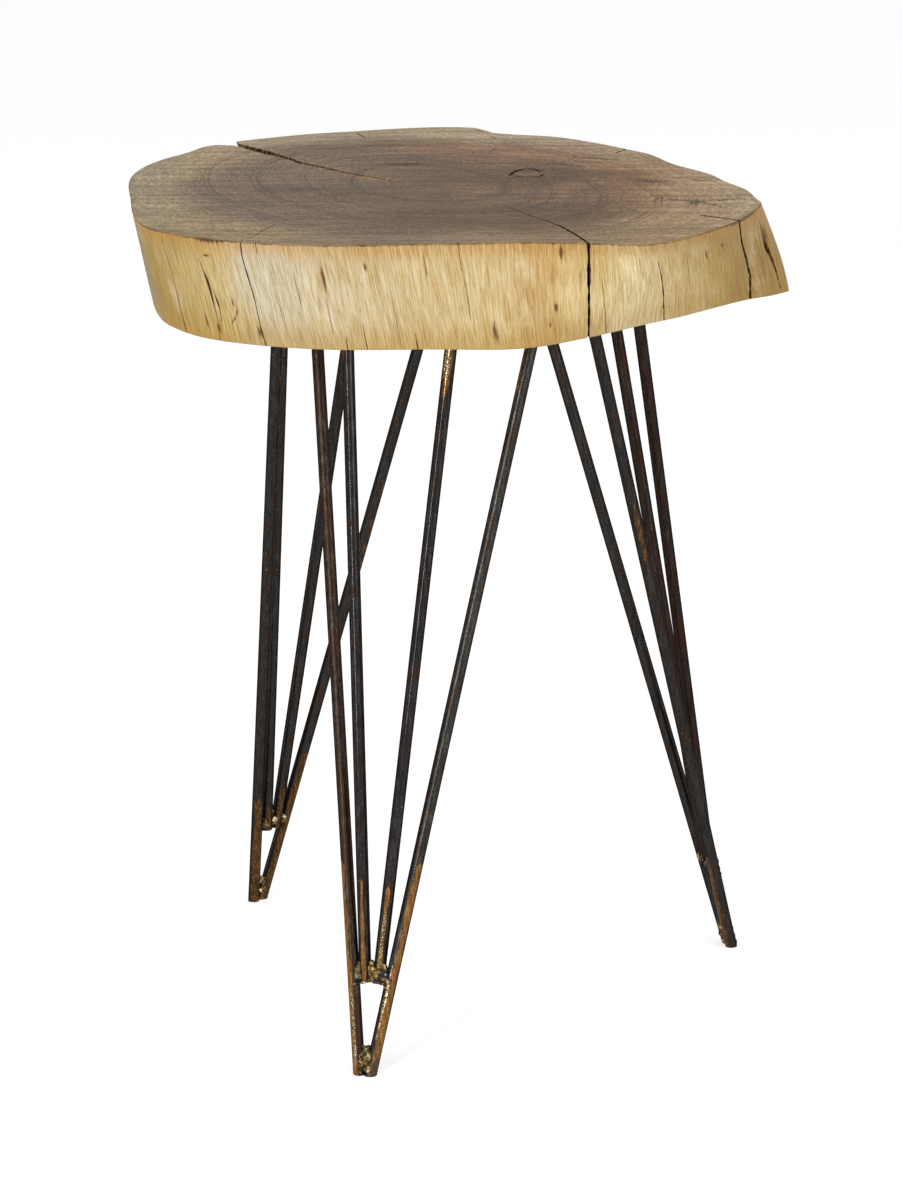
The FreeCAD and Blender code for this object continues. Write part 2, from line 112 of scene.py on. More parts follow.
def add(tree, kind, *values, stops=(), **settings):
    """Add one shader node. Values and links fill its inputs in order, a setting with a
    capital letter fills the input of that name, and stops are a ramp's places and colours."""
    made = tree.nodes.new("ShaderNode" + kind)
    for name, value in settings.items():
        if name[0].islower():
            setattr(made, name, value)
    for socket, value in zip([one for one in made.inputs if one.enabled], values):
        put(socket, value)
    for name, value in settings.items():
        if name[0].isupper():
            put(made.inputs[name], value)
    if stops:
        ramp = made.color_ramp.elements
        ramp.remove(ramp[1])
        for index, (place, colour) in enumerate(stops):
            element = ramp.new(place) if index else ramp[0]
            element.position = place
            element.color = linear(colour)
    return made


def new_material(name, **constants):
    """An empty material: its node tree, its shader with these constant inputs, and itself."""
    material = bpy.data.materials.new(name)
    material.use_nodes = True
    shader = material.node_tree.nodes["Principled BSDF"]
    for key, value in constants.items():
        put(shader.inputs[key.replace("_", " ")], value)
    return material.node_tree, shader, material


def drawn_out(tree, vector, cells, detail=2.0, rough=0.5, turn=0.0):
    """Noise with so many cells per metre along X, Y and Z, turned about Z by radians."""
    scaled = add(tree, "Mapping", vector, Rotation=(0, 0, turn), Scale=cells)
    return add(tree, "TexNoise", scaled, 1, detail, rough)


def lay(tree, under, pattern, span, over, times=None, ease="SMOOTHSTEP"):
    """Lay one colour over another where a pattern says. The span is two of its values and
    how much shows at each. A second pattern can thin that out."""
    much = add(tree, "MapRange", pattern, *span, interpolation_type=ease)
    if times is not None:
        much = add(tree, "Math", much, times, operation="MULTIPLY")
    return add(tree, "Mix", much, under, over, data_type="RGBA")


def surface(tree, shader, colour, dull, relief, depth, strength):
    """Link a finished colour, roughness and relief, this many metres deep, to a shader."""
    put(shader.inputs["Base Color"], colour)
    put(shader.inputs["Roughness"], dull)
    put(shader.inputs["Normal"],
        add(tree, "Bump", Height=relief, Distance=depth, Strength=strength))


def nearest(tree, vector, places):
    """How near each point is to the nearest ellipsoid: 0 at its middle, 1 at its skin. A
    place is a middle, three half sizes and a turn about Z in degrees."""
    least = None
    for middle, sizes, turn in places:
        inside = add(tree, "Mapping", vector, middle, (0, 0, math.radians(turn)), sizes,
                     vector_type="TEXTURE")
        length = add(tree, "VectorMath", inside, operation="LENGTH")
        if least is not None:
            length = add(tree, "Math", least, length, operation="MINIMUM")
        least = length
    return least


def torn_marks(tree, vector, rows, pattern, span):
    """Ellipses in a plane, with edges that a pattern tears. A row is x, y, half length,
    half width and turn."""
    places = [((x, y, 0), (half_x, half_y, 1), turn) for x, y, half_x, half_y, turn in rows]
    return add(tree, "Math", nearest(tree, vector, places),
               add(tree, "MapRange", pattern, *span))


def seen_directly(tree):
    """1 for what the camera sees, also in a reflection or through glass, 0 for light."""
    path = add(tree, "LightPath")
    seen = add(tree, "Math", path.outputs["Is Camera Ray"], path.outputs["Is Glossy Ray"],
               operation="MAXIMUM")
    return add(tree, "Math", seen, path.outputs["Is Transmission Ray"], operation="MAXIMUM")


print("helpers ready, mid grey is", round(linear("#808080")[0], 3))

# %% [markdown]
# ## The studio
# The table stood on a white sweep under large soft lamps, so its shadows are faint. Here a
# white floor reaches past the view, the world gives an even light from all round, and four
# big area lamps give the rods their thin bright lines. The floor adds a little white of its
# own for the camera and for reflections only, which keeps the background white and leaves
# the table's shadow on it.

# %% Floor
FLOOR_GLOW = 0.62  # this much, with the light on the paper, is just white
bpy.ops.mesh.primitive_plane_add(size=24, location=(0, 4, 0))
floor = bpy.context.object
floor.name = "floor"
# matt white paper: no gloss, so the legs leave no reflection on it
tree, shader, sweep = new_material("white_paper_sweep", Base_Color="#cfcfcf", Roughness=0.9,
                                   Specular_IOR_Level=0.0, Emission_Color="#ffffff")
put(shader.inputs["Emission Strength"],
    add(tree, "Math", seen_directly(tree), FLOOR_GLOW, operation="MULTIPLY"))
floor.data.materials.append(sweep)
print("floor", tuple(floor.dimensions))

# %% World and lamps
WORLD_STRENGTH = 0.55  # what lights the table, while the camera sees pure white
world = bpy.data.worlds.new("soft_room")
bpy.context.scene.world = world
world.use_nodes = True
tree = world.node_tree
tree.nodes.clear()
room = add(tree, "Background", "#ffffff", WORLD_STRENGTH)
white = add(tree, "Background", "#ffffff", 1.0)
add(tree, "OutputWorld", add(tree, "MixShader", seen_directly(tree), room, white))


def softbox(name, place, size, watts, height=None, target=(0, 0, 0.4)):
    """An area lamp that looks at the target, square unless it gets a height too."""
    turn = (Vector(target) - Vector(place)).to_track_quat("-Z", "Y").to_euler()
    bpy.ops.object.light_add(type="AREA", location=place, rotation=turn)
    lamp = bpy.context.object
    lamp.name = name
    lamp.data.shape = "RECTANGLE"
    lamp.data.size = size
    lamp.data.size_y = height or size
    lamp.data.energy = watts
    return lamp


softbox("key_softbox", (-1.9, -2.7, 1.7), 1.1, 24)
softbox("strip_softbox", (-1.45, -2.75, 1.0), 0.20, 28, height=1.6)
softbox("fill_softbox", (2.3, -2.0, 1.3), 1.8, 30)
softbox("top_softbox", (0.2, 0.5, 2.6), 2.0, 6.2)
bpy.context.scene.view_settings.view_transform = "Standard"

# %% [markdown]
# ## The slab's shell
# Under the bark a trunk shows its sapwood fibres. They run up the rim, and lean a little,
# because the saw went through the trunk askew and the butt flares. Modelled by hand, the
# rim would be a ring of points pulled up in steps and shrunk onto the rough block. That is
# done here: a circle is extruded row by row, each column is turned to follow one fibre, and
# every point is then moved in until it meets the CAD slab. The mesh then has the grain's
# own direction, so that ridges, cracks and colour streaks all run with it.

# %% Fibres: where each one leaves the top and the underside, in degrees about the middle
LEGS_MIDDLE = Vector((-0.00482, 0.00276, 0))
PITH = Vector((-0.0183, -0.0009, 0))
FIBRES = [
    (-20, -12.3), (-1.5, -0.5), (36, 32.4), (85, 79.6), (133.4, 129.4), (137.6, 133.8),
    (179, 178.9), (192, 197), (207, 209.2), (222, 225.7), (240, 244.3), (254, 258.1),
    (268, 271.1), (277, 278.7), (285, 285.8), (292.8, 295.5), (297, 305), (305, 320.3),
    (316.5, 334.6), (323, 340.1), (340, 347.7),
]
FIRST_FIBRE = -20
COLUMNS = 1440  # four for every degree, about 1 mm apart
slab_low, slab_high = (corner.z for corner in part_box("slab"))
EDGE_ROWS = [0.0, 0.0002, 0.0006, 0.0013]
inner_rows = np.linspace(0.003, slab_high - slab_low - 0.003, 31)
row_heights = np.array(EDGE_ROWS + list(inner_rows)
                       + [slab_high - slab_low - step for step in reversed(EDGE_ROWS)])
ROWS = len(row_heights)
print("slab from", round(slab_low, 3), "to", round(slab_high, 3), "in", ROWS, "rows")

# %% Pull the ring of points up, row by row
RING_START = 0.4  # well outside the slab, in metres
bpy.ops.object.select_all(action="DESELECT")
bpy.ops.mesh.primitive_circle_add(vertices=COLUMNS, radius=RING_START, fill_type="NOTHING",
                                  location=(0, 0, slab_low))
slab = bpy.context.object
slab.name = "live_edge_slab"
bpy.ops.object.transform_apply(location=True, rotation=True, scale=True)
bpy.ops.object.mode_set(mode="EDIT")
for step in np.diff(row_heights):
    bpy.ops.mesh.extrude_region_move(TRANSFORM_OT_translate={"value": (0, 0, float(step))})
bpy.ops.object.mode_set(mode="OBJECT")


def numbers(things, name, width=1, kind=float):
    """One setting of all points, edges, corners or faces of a mesh, as an array."""
    flat = np.empty(len(things) * width, kind)
    things.foreach_get(name, flat)
    return flat.reshape(-1, width) if width > 1 else flat


def points_of(mesh):
    """All of a mesh's points as an array."""
    return numbers(mesh.vertices, "co", 3)


shell = points_of(slab.data)
turns = np.degrees(np.arctan2(shell[:, 1], shell[:, 0])) - FIRST_FIBRE
column_of = np.round(turns / 360 * COLUMNS).astype(int) % COLUMNS
row_of = np.abs(shell[:, 2:3] - slab_low - row_heights[None, :]).argmin(1)
print("shell of", len(shell), "points,", COLUMNS, "columns by", ROWS, "rows")

# %% Move every point in to the CAD slab
fibre_tops = FIRST_FIBRE + np.arange(COLUMNS) * 360 / COLUMNS
fibre_lows = np.interp(fibre_tops, *zip(*FIBRES))
SLAB_THICKNESS = slab_high - slab_low
rise = row_heights / SLAB_THICKNESS
directions = np.radians(np.outer(1 - rise, fibre_lows) + np.outer(rise, fibre_tops))
slab_tree = BVHTree.FromObject(nodes["slab"], bpy.context.evaluated_depsgraph_get())
INSIDE = 0.00002  # rays run this far inside the slab's faces, so that they can't miss it
radius = np.zeros((ROWS, COLUMNS))
for row in range(ROWS):
    height = slab_low + min(max(row_heights[row], INSIDE), SLAB_THICKNESS - INSIDE)
    for column in range(COLUMNS):
        angle = directions[row, column]
        outwards = Vector((math.cos(angle), math.sin(angle), 0))
        start = LEGS_MIDDLE + outwards * RING_START
        start.z = height
        hit = slab_tree.ray_cast(start, -outwards)
        radius[row, column] = RING_START - hit[3]
print("rim radius from", round(radius.min(), 4), "to", round(radius.max(), 4))

# %% Close the crack mouths, which are cut again later with torn edges
REAR_LIPS = (135.8, 138.1)  # from fibre to fibre, in degrees
FRONT_MOUTH = (291.4, 296.6)


def within(low, high):
    """Which fibres leave the top between two directions."""
    return (fibre_tops % 360 > low) & (fibre_tops % 360 < high)


first, last = np.flatnonzero(within(*REAR_LIPS))[[0, -1]]
share = np.linspace(0, 1, last - first + 3)[1:-1]
lips = radius[:, [first - 1, last + 1]]
radius[:, first:last + 1] = lips[:, :1] * (1 - share) + lips[:, 1:] * share
across = (np.roll(radius, 3, 1) + np.roll(radius, -3, 1)) / 2
radius = np.where(within(*FRONT_MOUTH) & (radius < across), across, radius)
middle_row = ROWS // 2
middle_line = np.stack([radius[middle_row] * np.cos(directions[middle_row]),
                        radius[middle_row] * np.sin(directions[middle_row])], 1)
chords = np.linalg.norm(np.roll(middle_line, -1, 0) - middle_line, axis=1)
along = np.concatenate([[0], np.cumsum(chords)])
RIM_LENGTH = along[-1]
print("the rim is", round(RIM_LENGTH, 3), "m long, halfway up")


def rim_place(fibre):
    """How far round the rim a fibre is, in metres."""
    return float(np.interp((fibre - FIRST_FIBRE) % 360 / 360 * COLUMNS,
                           np.arange(COLUMNS + 1), along))


# %% [markdown]
# A draw knife and a wire brush leave shallow hollows and fine ridges along the fibres, and
# they stand a few tenths of a millimetre apart in depth. All of them are cut inwards, as in
# wood, so the slab never grows past its CAD size. Bark pockets and gouges go in a
# millimetre or two.

# %% Work the rim: hollows, ridges and gouges, in metres
GOUGES = [  # fibre, height, half width, half height, depth
    (228.0, 0.040, 0.0016, 0.011, 0.0012), (227.6, 0.017, 0.0020, 0.014, 0.0016),
    (229.0, 0.026, 0.0012, 0.010, 0.0010), (247.6, 0.048, 0.0010, 0.009, 0.0010),
    (254.7, 0.055, 0.0014, 0.004, 0.0011), (276.0, 0.012, 0.0026, 0.007, 0.0014),
    (287.6, 0.025, 0.0018, 0.004, 0.0022), (288.9, 0.063, 0.0018, 0.005, 0.0012),
    (312.0, 0.050, 0.0013, 0.004, 0.0014), (316.6, 0.054, 0.0012, 0.002, 0.0014),
    (334.6, 0.040, 0.0030, 0.014, 0.0026), (40.0, 0.030, 0.0040, 0.012, 0.0020),
    (92.0, 0.045, 0.0035, 0.008, 0.0020), (112.0, 0.022, 0.0030, 0.010, 0.0018),
    (171.0, 0.030, 0.0025, 0.009, 0.0015),
]
EDGE_WEAR = {0.0: 0.0007, 0.0002: 0.00035, 0.0006: 0.00012, 0.0013: 0.0}
WORKED = [  # hollows, ridges and fine ridges: their size along the rim and up it, and a seed
    (0.045, 0.09, 3.1), (0.0052, 0.10, 7.7), (0.0021, 0.035, 1.3),
]
BELLY = (346, 26, 0.0023)  # the right flank swells: fibre, half width in degrees, metres
off_belly = (fibre_tops - BELLY[0] + 180) % 360 - 180
worked = radius + BELLY[2] * np.outer(np.sin(math.pi * rise ** 0.8),
                                      np.exp(-(off_belly / BELLY[1]) ** 2))
for row in range(ROWS):
    height = row_heights[row]
    from_edge = min(height, SLAB_THICKNESS - height)
    wear = np.interp(from_edge, list(EDGE_WEAR), list(EDGE_WEAR.values()))
    for column in range(COLUMNS):
        hollow, ridge, fine = (
            noise.noise(Vector((along[column] / wide, height / tall, seed)))
            for wide, tall, seed in WORKED)
        ridges = 0.0003 * (0.3 + ridge) + 0.00015 * (0.4 + fine)
        cut = 0.0006 * (0.3 + hollow) + ridges * min(0.3 + from_edge / 0.005, 1)
        worked[row, column] -= cut + wear
for fibre, height, half_width, half_height, depth in GOUGES:
    across = (along[None, :-1] - rim_place(fibre)) / half_width
    up = (row_heights[:, None] - height) / half_height
    worked -= depth * np.exp(-(across ** 2 + up ** 2))
shell[:, 0] = LEGS_MIDDLE.x + (worked * np.cos(directions))[row_of, column_of]
shell[:, 1] = LEGS_MIDDLE.y + (worked * np.sin(directions))[row_of, column_of]
shell = np.clip(shell, np.array(cad_box[0]), np.array(cad_box[1]))
slab.data.vertices.foreach_set("co", shell.ravel())
print("cut", round(float((radius - worked).max()) * 1000, 2), "mm at the deepest gouge")


# %% Close the top and the underside with rings that shrink towards the pith
def select_points(obj, chosen):
    """Select just these points of an object, ready for edit mode."""
    mesh = obj.data
    mesh.vertices.foreach_set("select", chosen)
    mesh.edges.foreach_set("select", chosen[numbers(mesh.edges, "vertices", 2, int)].all(1))
    mesh.polygons.foreach_set("select", np.zeros(len(mesh.polygons), bool))


def turn_faces_out():
    """Point every face of the active mesh outwards."""
    bpy.ops.object.mode_set(mode="EDIT")
    bpy.ops.mesh.select_all(action="SELECT")
    bpy.ops.mesh.normals_make_consistent(inside=False)
    bpy.ops.object.mode_set(mode="OBJECT")


TOP_RINGS = [0.994, 0.97, 0.93, 0.87, 0.79, 0.69, 0.57, 0.44, 0.30, 0.16, 0.05]
LOW_RINGS = [0.994, 0.96, 0.86, 0.66, 0.40, 0.12]
for row, shares in ((ROWS - 1, TOP_RINGS), (0, LOW_RINGS)):
    picked = np.zeros(len(slab.data.vertices), bool)
    picked[:len(shell)] = row_of == row
    select_points(slab, picked)
    bpy.ops.object.mode_set(mode="EDIT")
    bpy.ops.mesh.select_mode(type="EDGE")
    before = 1.0
    for share in shares:
        bpy.ops.mesh.extrude_region_move()
        bpy.ops.transform.resize(value=(share / before, share / before, 1),
                                 center_override=(PITH.x, PITH.y, 0))
        before = share
    bpy.ops.mesh.merge(type="CENTER")
    bpy.ops.object.mode_set(mode="OBJECT")
turn_faces_out()
print("closed slab:", len(slab.data.vertices), "points,", len(slab.data.polygons), "faces")

# %% [markdown]
# The two sawn faces and the rim are different surfaces of one piece of wood, so they get
# different finishes. A face's normal says which it is. The UV map carries the wood's own
# coordinates: on the rim, metres along it and metres up; on a sawn face, the distance from
# the pith in metres, where the growth rings are round at the pith and follow the rim
# further out.

# %% Wood coordinates
mesh = slab.data
points = points_of(mesh)
facing = numbers(mesh.polygons, "normal", 3)[:, 2]
centres = numbers(mesh.polygons, "center", 3)[:, 2]
flat_top = (facing > 0.9) & (centres > slab_high - 0.0002)
flat_low = (facing < -0.9) & (centres < slab_low + 0.0002)
TOP_FACE, RIM_FACE, LOW_FACE = 0, 1, 2  # the slab's materials, in this order
kind = np.where(flat_top, TOP_FACE, np.where(flat_low, LOW_FACE, RIM_FACE))
mesh.polygons.foreach_set("material_index", kind)

MEAN_RADIUS = float(radius[-1].mean())
OVAL_TURN = math.radians(25)  # the inner rings are ovals, narrowest in this direction
OVAL, LOPSIDED = 0.19, 0.04  # by this share, and this much closer together at the right


def ring_distance(points, row):
    """Distance from the pith of points on a sawn face: even, and along the oval rings."""
    rim = np.stack([LEGS_MIDDLE.x + worked[row] * np.cos(directions[row]) - PITH.x,
                    LEGS_MIDDLE.y + worked[row] * np.sin(directions[row]) - PITH.y], 1)
    order = np.argsort(np.arctan2(rim[:, 1], rim[:, 0]))
    away = points[:, :2] - np.array([PITH.x, PITH.y])
    sides = np.linspace(-math.pi, math.pi, 361)
    lengths = np.interp(sides, np.arctan2(rim[order, 1], rim[order, 0]),
                        np.linalg.norm(rim[order], axis=1), period=2 * math.pi)
    spread = np.exp(-(np.arange(-60, 61) / 30) ** 2)
    rounded = np.convolve(np.pad(lengths[:-1], 60, "wrap"), spread / spread.sum(), "valid")
    turn = np.arctan2(away[:, 1], away[:, 0])
    length = np.linalg.norm(away, axis=1)
    reach = np.interp(turn, sides, lengths)
    share = np.clip(length / reach, 0, 1)
    inner = np.interp(turn, sides[:-1], rounded, period=2 * math.pi)
    reach = inner + (reach - inner) * share ** 8
    even = length * (1 + (MEAN_RADIUS / reach - 1) * share ** 1.5)
    oval = OVAL * np.cos(2 * (turn - OVAL_TURN)) + LOPSIDED * np.cos(turn)
    return even, even * (1 + oval * (1 - share ** 4))


corner_points = numbers(mesh.loops, "vertex_index", kind=int)
face_sizes = numbers(mesh.polygons, "loop_total", kind=int)
corner_face = np.repeat(np.arange(len(mesh.polygons)), face_sizes)
corner_kind = kind[corner_face]
uv = np.zeros((len(mesh.loops), 2))
for face, row in ((TOP_FACE, ROWS - 1), (LOW_FACE, 0)):
    for axis, distance in enumerate(ring_distance(points, row)):
        uv[corner_kind == face, axis] = distance[corner_points[corner_kind == face]]
column_at = np.full(len(points), -1)
column_at[:len(shell)] = column_of
columns = column_at[corner_points]
face_high = np.full(len(mesh.polygons), -1)
np.maximum.at(face_high, corner_face, columns)
crosses_seam = (face_high[corner_face] == COLUMNS - 1) & (columns < COLUMNS // 2)
rim_corners = (corner_kind == RIM_FACE) & (columns >= 0)
uv[rim_corners, 0] = along[np.where(crosses_seam, COLUMNS, columns)[rim_corners]]
uv[rim_corners, 1] = points[corner_points[rim_corners], 2] - slab_low
uv_map = mesh.uv_layers.new(name="wood")
uv_map.data.foreach_set("uv", uv.ravel())
print("faces on top, rim, underside:", flat_top.sum(), (~flat_top & ~flat_low).sum(),
      flat_low.sum())

# %% [markdown]
# ## The cracks
# A slice dries faster at its rim than at its heart, so it splits from the rim inwards. Here
# are two such splits that go right through, one that stays near the rim, and hairline
# checks. Each is cut out with a blade: a grid is laid along the crack, thickened more where
# the crack is wider, roughened, and taken away from the slab with a Boolean. The blade's
# own dark material stays on the walls that it cuts.

# %% One blade from two lines
BLADE_GROUP = "width"


def blade(name, outer, inner, widths, steps, layers, rough, narrow=1.0):
    """A rough wedge between two lines of points, as thick as widths says along the outer
    one, and that times narrow along the inner one."""
    bpy.ops.object.select_all(action="DESELECT")
    bpy.ops.mesh.primitive_grid_add(x_subdivisions=steps, y_subdivisions=layers, size=1)
    made = bpy.context.object
    made.name = name
    grid = points_of(made.data)
    run, deep = grid[:, 0] + 0.5, grid[:, 1] + 0.5
    marks = np.linspace(0, 1, len(outer))
    outer, inner = np.array(outer), np.array(inner)
    for axis in range(3):
        start = np.interp(run, marks, outer[:, axis])
        end = np.interp(run, marks, inner[:, axis])
        grid[:, axis] = start * (1 - deep) + end * deep
    made.data.vertices.foreach_set("co", grid.ravel())
    group = made.vertex_groups.new(name=BLADE_GROUP)
    widest = max(widths)
    thick = np.interp(run, np.linspace(0, 1, len(widths)), widths) / widest
    thick *= 1 - (1 - narrow) * deep
    for index, share in enumerate(thick):
        share *= 0.85 + 0.7 * noise.noise(Vector(grid[index]) * 190)
        group.add([index], float(min(max(share, 0), 1)), "REPLACE")
    wall = made.modifiers.new("Thickness", "SOLIDIFY")
    wall.thickness = widest
    wall.offset = 0
    wall.vertex_group = BLADE_GROUP
    wall.thickness_vertex_group = 0.05
    torn = bpy.data.textures.new(name + "_torn", "CLOUDS")
    torn.noise_scale = 0.0036
    torn.noise_depth = 3
    for axis in "XY":
        ragged = made.modifiers.new("Ragged", "DISPLACE")
        ragged.texture = torn
        ragged.texture_coords = "GLOBAL"
        ragged.direction = axis
        ragged.strength = rough
        ragged.vertex_group = BLADE_GROUP
    for modifier in list(made.modifiers):
        bpy.ops.object.modifier_apply(modifier=modifier.name)
    return made


print("a blade is thick where its point group says:", BLADE_GROUP)

# %% The splits through the whole slab
PAST = 0.003  # the blades reach this far past the slab's two faces


def through_split(name, line, widths, turn, narrow, rough):
    """A split that starts past the rim and runs inwards, leaning by turn degrees."""
    top = [(x / 1000, y / 1000, slab_high + PAST) for x, y in line]
    lean = Matrix.Rotation(math.radians(turn), 3, "Z")
    low = []
    for x, y, height in top:
        place = LEGS_MIDDLE + lean @ (Vector((x, y, 0)) - LEGS_MIDDLE)
        low.append((place.x, place.y, slab_low - PAST))
    return blade(name, top, low, widths, 180, 14, rough, narrow)


rear_split = through_split(
    "rear_split",
    [(-178, 176), (-161, 154.5), (-151, 140), (-142, 127.5), (-132.7, 114), (-121.5, 97.5),
     (-113.3, 81), (-101.5, 69.6), (-83.4, 46.5), (-68.7, 31.3), (-57, 21.5), (-46, 9.3),
     (-36, 4)],
    [0.0080, 0.0084, 0.0100, 0.0108, 0.0072, 0.0040, 0.0046, 0.0040, 0.0028, 0.0022, 0.0016,
     0.0013, 0.0006], -3.9, 0.45, 0.0016)
front_split = through_split(
    "front_split",
    [(95, -246), (88.5, -225), (86, -212), (82, -197), (76.8, -179), (70, -158), (62, -142),
     (52.5, -125), (41.8, -102.6), (32.5, -83)],
    [0.0021, 0.0022, 0.0024, 0.0026, 0.0021, 0.0018, 0.0014, 0.0011, 0.0008, 0.0003], 2.1,
    0.9, 0.0013)
print("splits:", rear_split.name, front_split.name)


# %% Checks in the rim and in the top
CLEAR_OF_SLAB = 0.004  # blades start this far outside the rim


def on_rim(fibre, height, out):
    """A point of the rim by its fibre and its height, moved out by a length."""
    column = (fibre - FIRST_FIBRE) % 360 / 360 * COLUMNS
    row = float(np.interp(height, row_heights, np.arange(ROWS)))
    columns = np.arange(COLUMNS)
    near = int(round(row))
    away = float(np.interp(column, columns, worked[near])) + out
    angle = float(np.interp(column, columns, directions[near]))
    return (LEGS_MIDDLE.x + away * math.cos(angle), LEGS_MIDDLE.y + away * math.sin(angle),
            slab_low + height)


def rim_check(name, line, widths, depth, steps):
    """A narrow split in the rim along a line of fibre and height pairs."""
    outer = [on_rim(fibre, height, CLEAR_OF_SLAB) for fibre, height in line]
    inner = [on_rim(fibre, height, -depth) for fibre, height in line]
    return blade(name, outer, inner, widths, steps, 4, 0.0007)


def top_check(name, line, widths):
    """A narrow split, 4 mm deep, in the top along a line of points in millimetres."""
    outer, inner = ([(x / 1000, y / 1000, slab_high + up) for x, y in line]
                    for up in (0.002, -0.004))
    return blade(name, outer, inner, widths, 24, 3, 0.0005)


RIM_CHECKS = [  # name, fibre and height pairs, widths along them, depth and steps
    ("right_check", [(322.7, 0.074), (323.8, 0.052), (324.8, 0.035), (325.1, 0.020),
                     (323.8, -0.004)], [0.0021, 0.0019, 0.0022, 0.0018, 0.0020], 0.030, 60),
    ("left_check", [(235.5, 0.074), (235.3, 0.060), (235.6, 0.030), (235.4, 0.014),
                    (235.9, -0.004)], [0.0010, 0.0008, 0.0009, 0.0007, 0.0012], 0.006, 60),
    ("far_left_check", [(220.2, 0.064), (220.3, 0.040), (220.2, -0.004)],
     [0.0003, 0.0006, 0.0009], 0.005, 60),
    ("long_gouge", [(227.5, 0.055), (227.75, 0.042), (228.0, 0.026), (227.9, 0.010)],
     [0.0003, 0.0009, 0.0012, 0.0010, 0.0003], 0.003, 60),
    ("side_gouge", [(228.6, 0.036), (228.9, 0.024), (228.8, 0.014)],
     [0.0003, 0.0008, 0.0003], 0.003, 30),
    ("low_gouge", [(227.7, 0.007), (227.6, -0.004)], [0.0004, 0.0011], 0.004, 24),
    ("corner_gouge", [(333.6, 0.060), (334.0, 0.048), (334.9, 0.036), (335.6, 0.026),
                      (335.5, 0.004)], [0.0006, 0.0020, 0.0026, 0.0010, 0.0006], 0.004, 60),
    ("second_hair", [(294.2, 0.044), (294.5, 0.022), (294.9, -0.004)],
     [0.0003, 0.0006, 0.0009], 0.006, 30),
    ("front_hair", [(301.4, 0.056), (301.7, 0.040), (302.2, 0.022), (303.0, -0.004)],
     [0.0004, 0.0009, 0.0011, 0.0013], 0.006, 60),
]
SHORT_CHECKS = [  # fibre, lower and upper height, then the width at each
    (249.1, -0.004, 0.009, 0.0010, 0.00040), (252.3, -0.004, 0.017, 0.0009, 0.00036),
    (261.0, -0.004, 0.011, 0.0009, 0.00036), (271.3, 0.052, 0.074, 0.00032, 0.0008),
    (237.9, 0.062, 0.074, 0.00040, 0.0010),
]
TOP_CHECKS = [  # x and y pairs in millimetres, and the greatest width in metres
    ([(-138.7, -190), (-131.4, -166.3), (-123.6, -143.8)], 0.0008),
    ([(-74, 203), (-73.3, 198.9), (-67.4, 179.3)], 0.0012), ([(25, 119.2), (31.1, 138.1)], 0.0009),
    ([(131, 133), (124.6, 124.2), (116.9, 109.9)], 0.0022),
    ([(166, 8), (175.5, 2.0), (188.7, 3.2), (202, 4)], 0.0022),
    ([(38.3, 26.4), (41.1, 38.2), (44.3, 45.4), (49.4, 52.2), (55.2, 52.0), (61.6, 40.4)],
     0.0034), ([(63, 31), (60, 21), (51, 20.3), (42, 24)], 0.0028),
    ([(-52, 77), (-37.9, 73.9), (-26.8, 77.7)], 0.0026),
    ([(28, -60), (60, -98), (88, -118)], 0.0004),
]
cutters = [rear_split, front_split]
for row in RIM_CHECKS:
    cutters.append(rim_check(*row))
for number, (fibre, low, high, *widths) in enumerate(SHORT_CHECKS):
    cutters.append(rim_check(f"short_check_{number}", [(fibre, low), (fibre, high)], widths,
                             0.006, 24))
for number, (line, width) in enumerate(TOP_CHECKS):
    shape = [0.45 * width, width, width, 0.6 * width]
    cutters.append(top_check(f"top_check_{number}", line, shape))
print(len(cutters), "blades")

# %% [markdown]
# ## Wood finishes
# The top is end grain: sawn across the fibres, sanded and oiled. That shows growth rings,
# dark heartwood inside a paler ring of sapwood, pores, and the marks of the band saw, which
# run straight across. Noise on the distance from the pith gives rings of uneven width that
# stay closed, and noise stretched along X gives the saw marks. Marks with a place of their
# own, such as knots and stains, are soft ellipses from one list.

# %% End grain, sanded and oiled
SAP_EDGE = MEAN_RADIUS - 0.040
CLEAR_RINGS = [  # distance from the pith in metres and how bold, for the rings that stand out
    (0.0035, 0.7), (0.009, 0.7), (0.0135, 0.6), (0.030, 0.5), (0.059, 1.7), (0.063, 0.6),
    (0.094, 0.4), (0.1295, 1.3), (0.1345, 0.6), (0.167, 0.6), (0.171, 0.4),
]
TOP_STAINS = [  # x, y, half length, half width in metres, turn in degrees
    (-0.042, 0.074, 0.020, 0.004, -4), (0.054, 0.044, 0.018, 0.012, 10),
    (0.167, -0.077, 0.011, 0.009, -40), (0.156, -0.070, 0.020, 0.003, -24),
    (0.178, -0.088, 0.016, 0.003, -50), (0.182, -0.072, 0.016, 0.0025, 20),
    (0.122, -0.104, 0.005, 0.004, 0), (0.140, 0.000, 0.022, 0.008, -28),
    (0.028, 0.180, 0.004, 0.004, 0), (0.078, 0.068, 0.020, 0.006, -30),
    (-0.070, 0.058, 0.012, 0.002, -50), (0.104, 0.090, 0.030, 0.003, -24),
]
TOP_SHADES = [  # broad darker parts of the heartwood
    (0.020, -0.112, 0.110, 0.026, 0), (-0.050, -0.046, 0.090, 0.022, 4),
    (0.040, 0.010, 0.050, 0.030, 0), (-0.120, -0.020, 0.030, 0.020, -30),
]
TOP_GLOW = [  # warm, reddish places near the old branch
    (-0.010, 0.135, 0.060, 0.028, 0), (0.060, 0.104, 0.050, 0.016, -12),
    (0.108, 0.112, 0.040, 0.016, -25), (0.052, 0.036, 0.011, 0.013, 0),
    (0.175, -0.030, 0.045, 0.034, 0), (0.100, 0.060, 0.035, 0.014, -20),
    (-0.060, 0.020, 0.030, 0.012, -30),
]


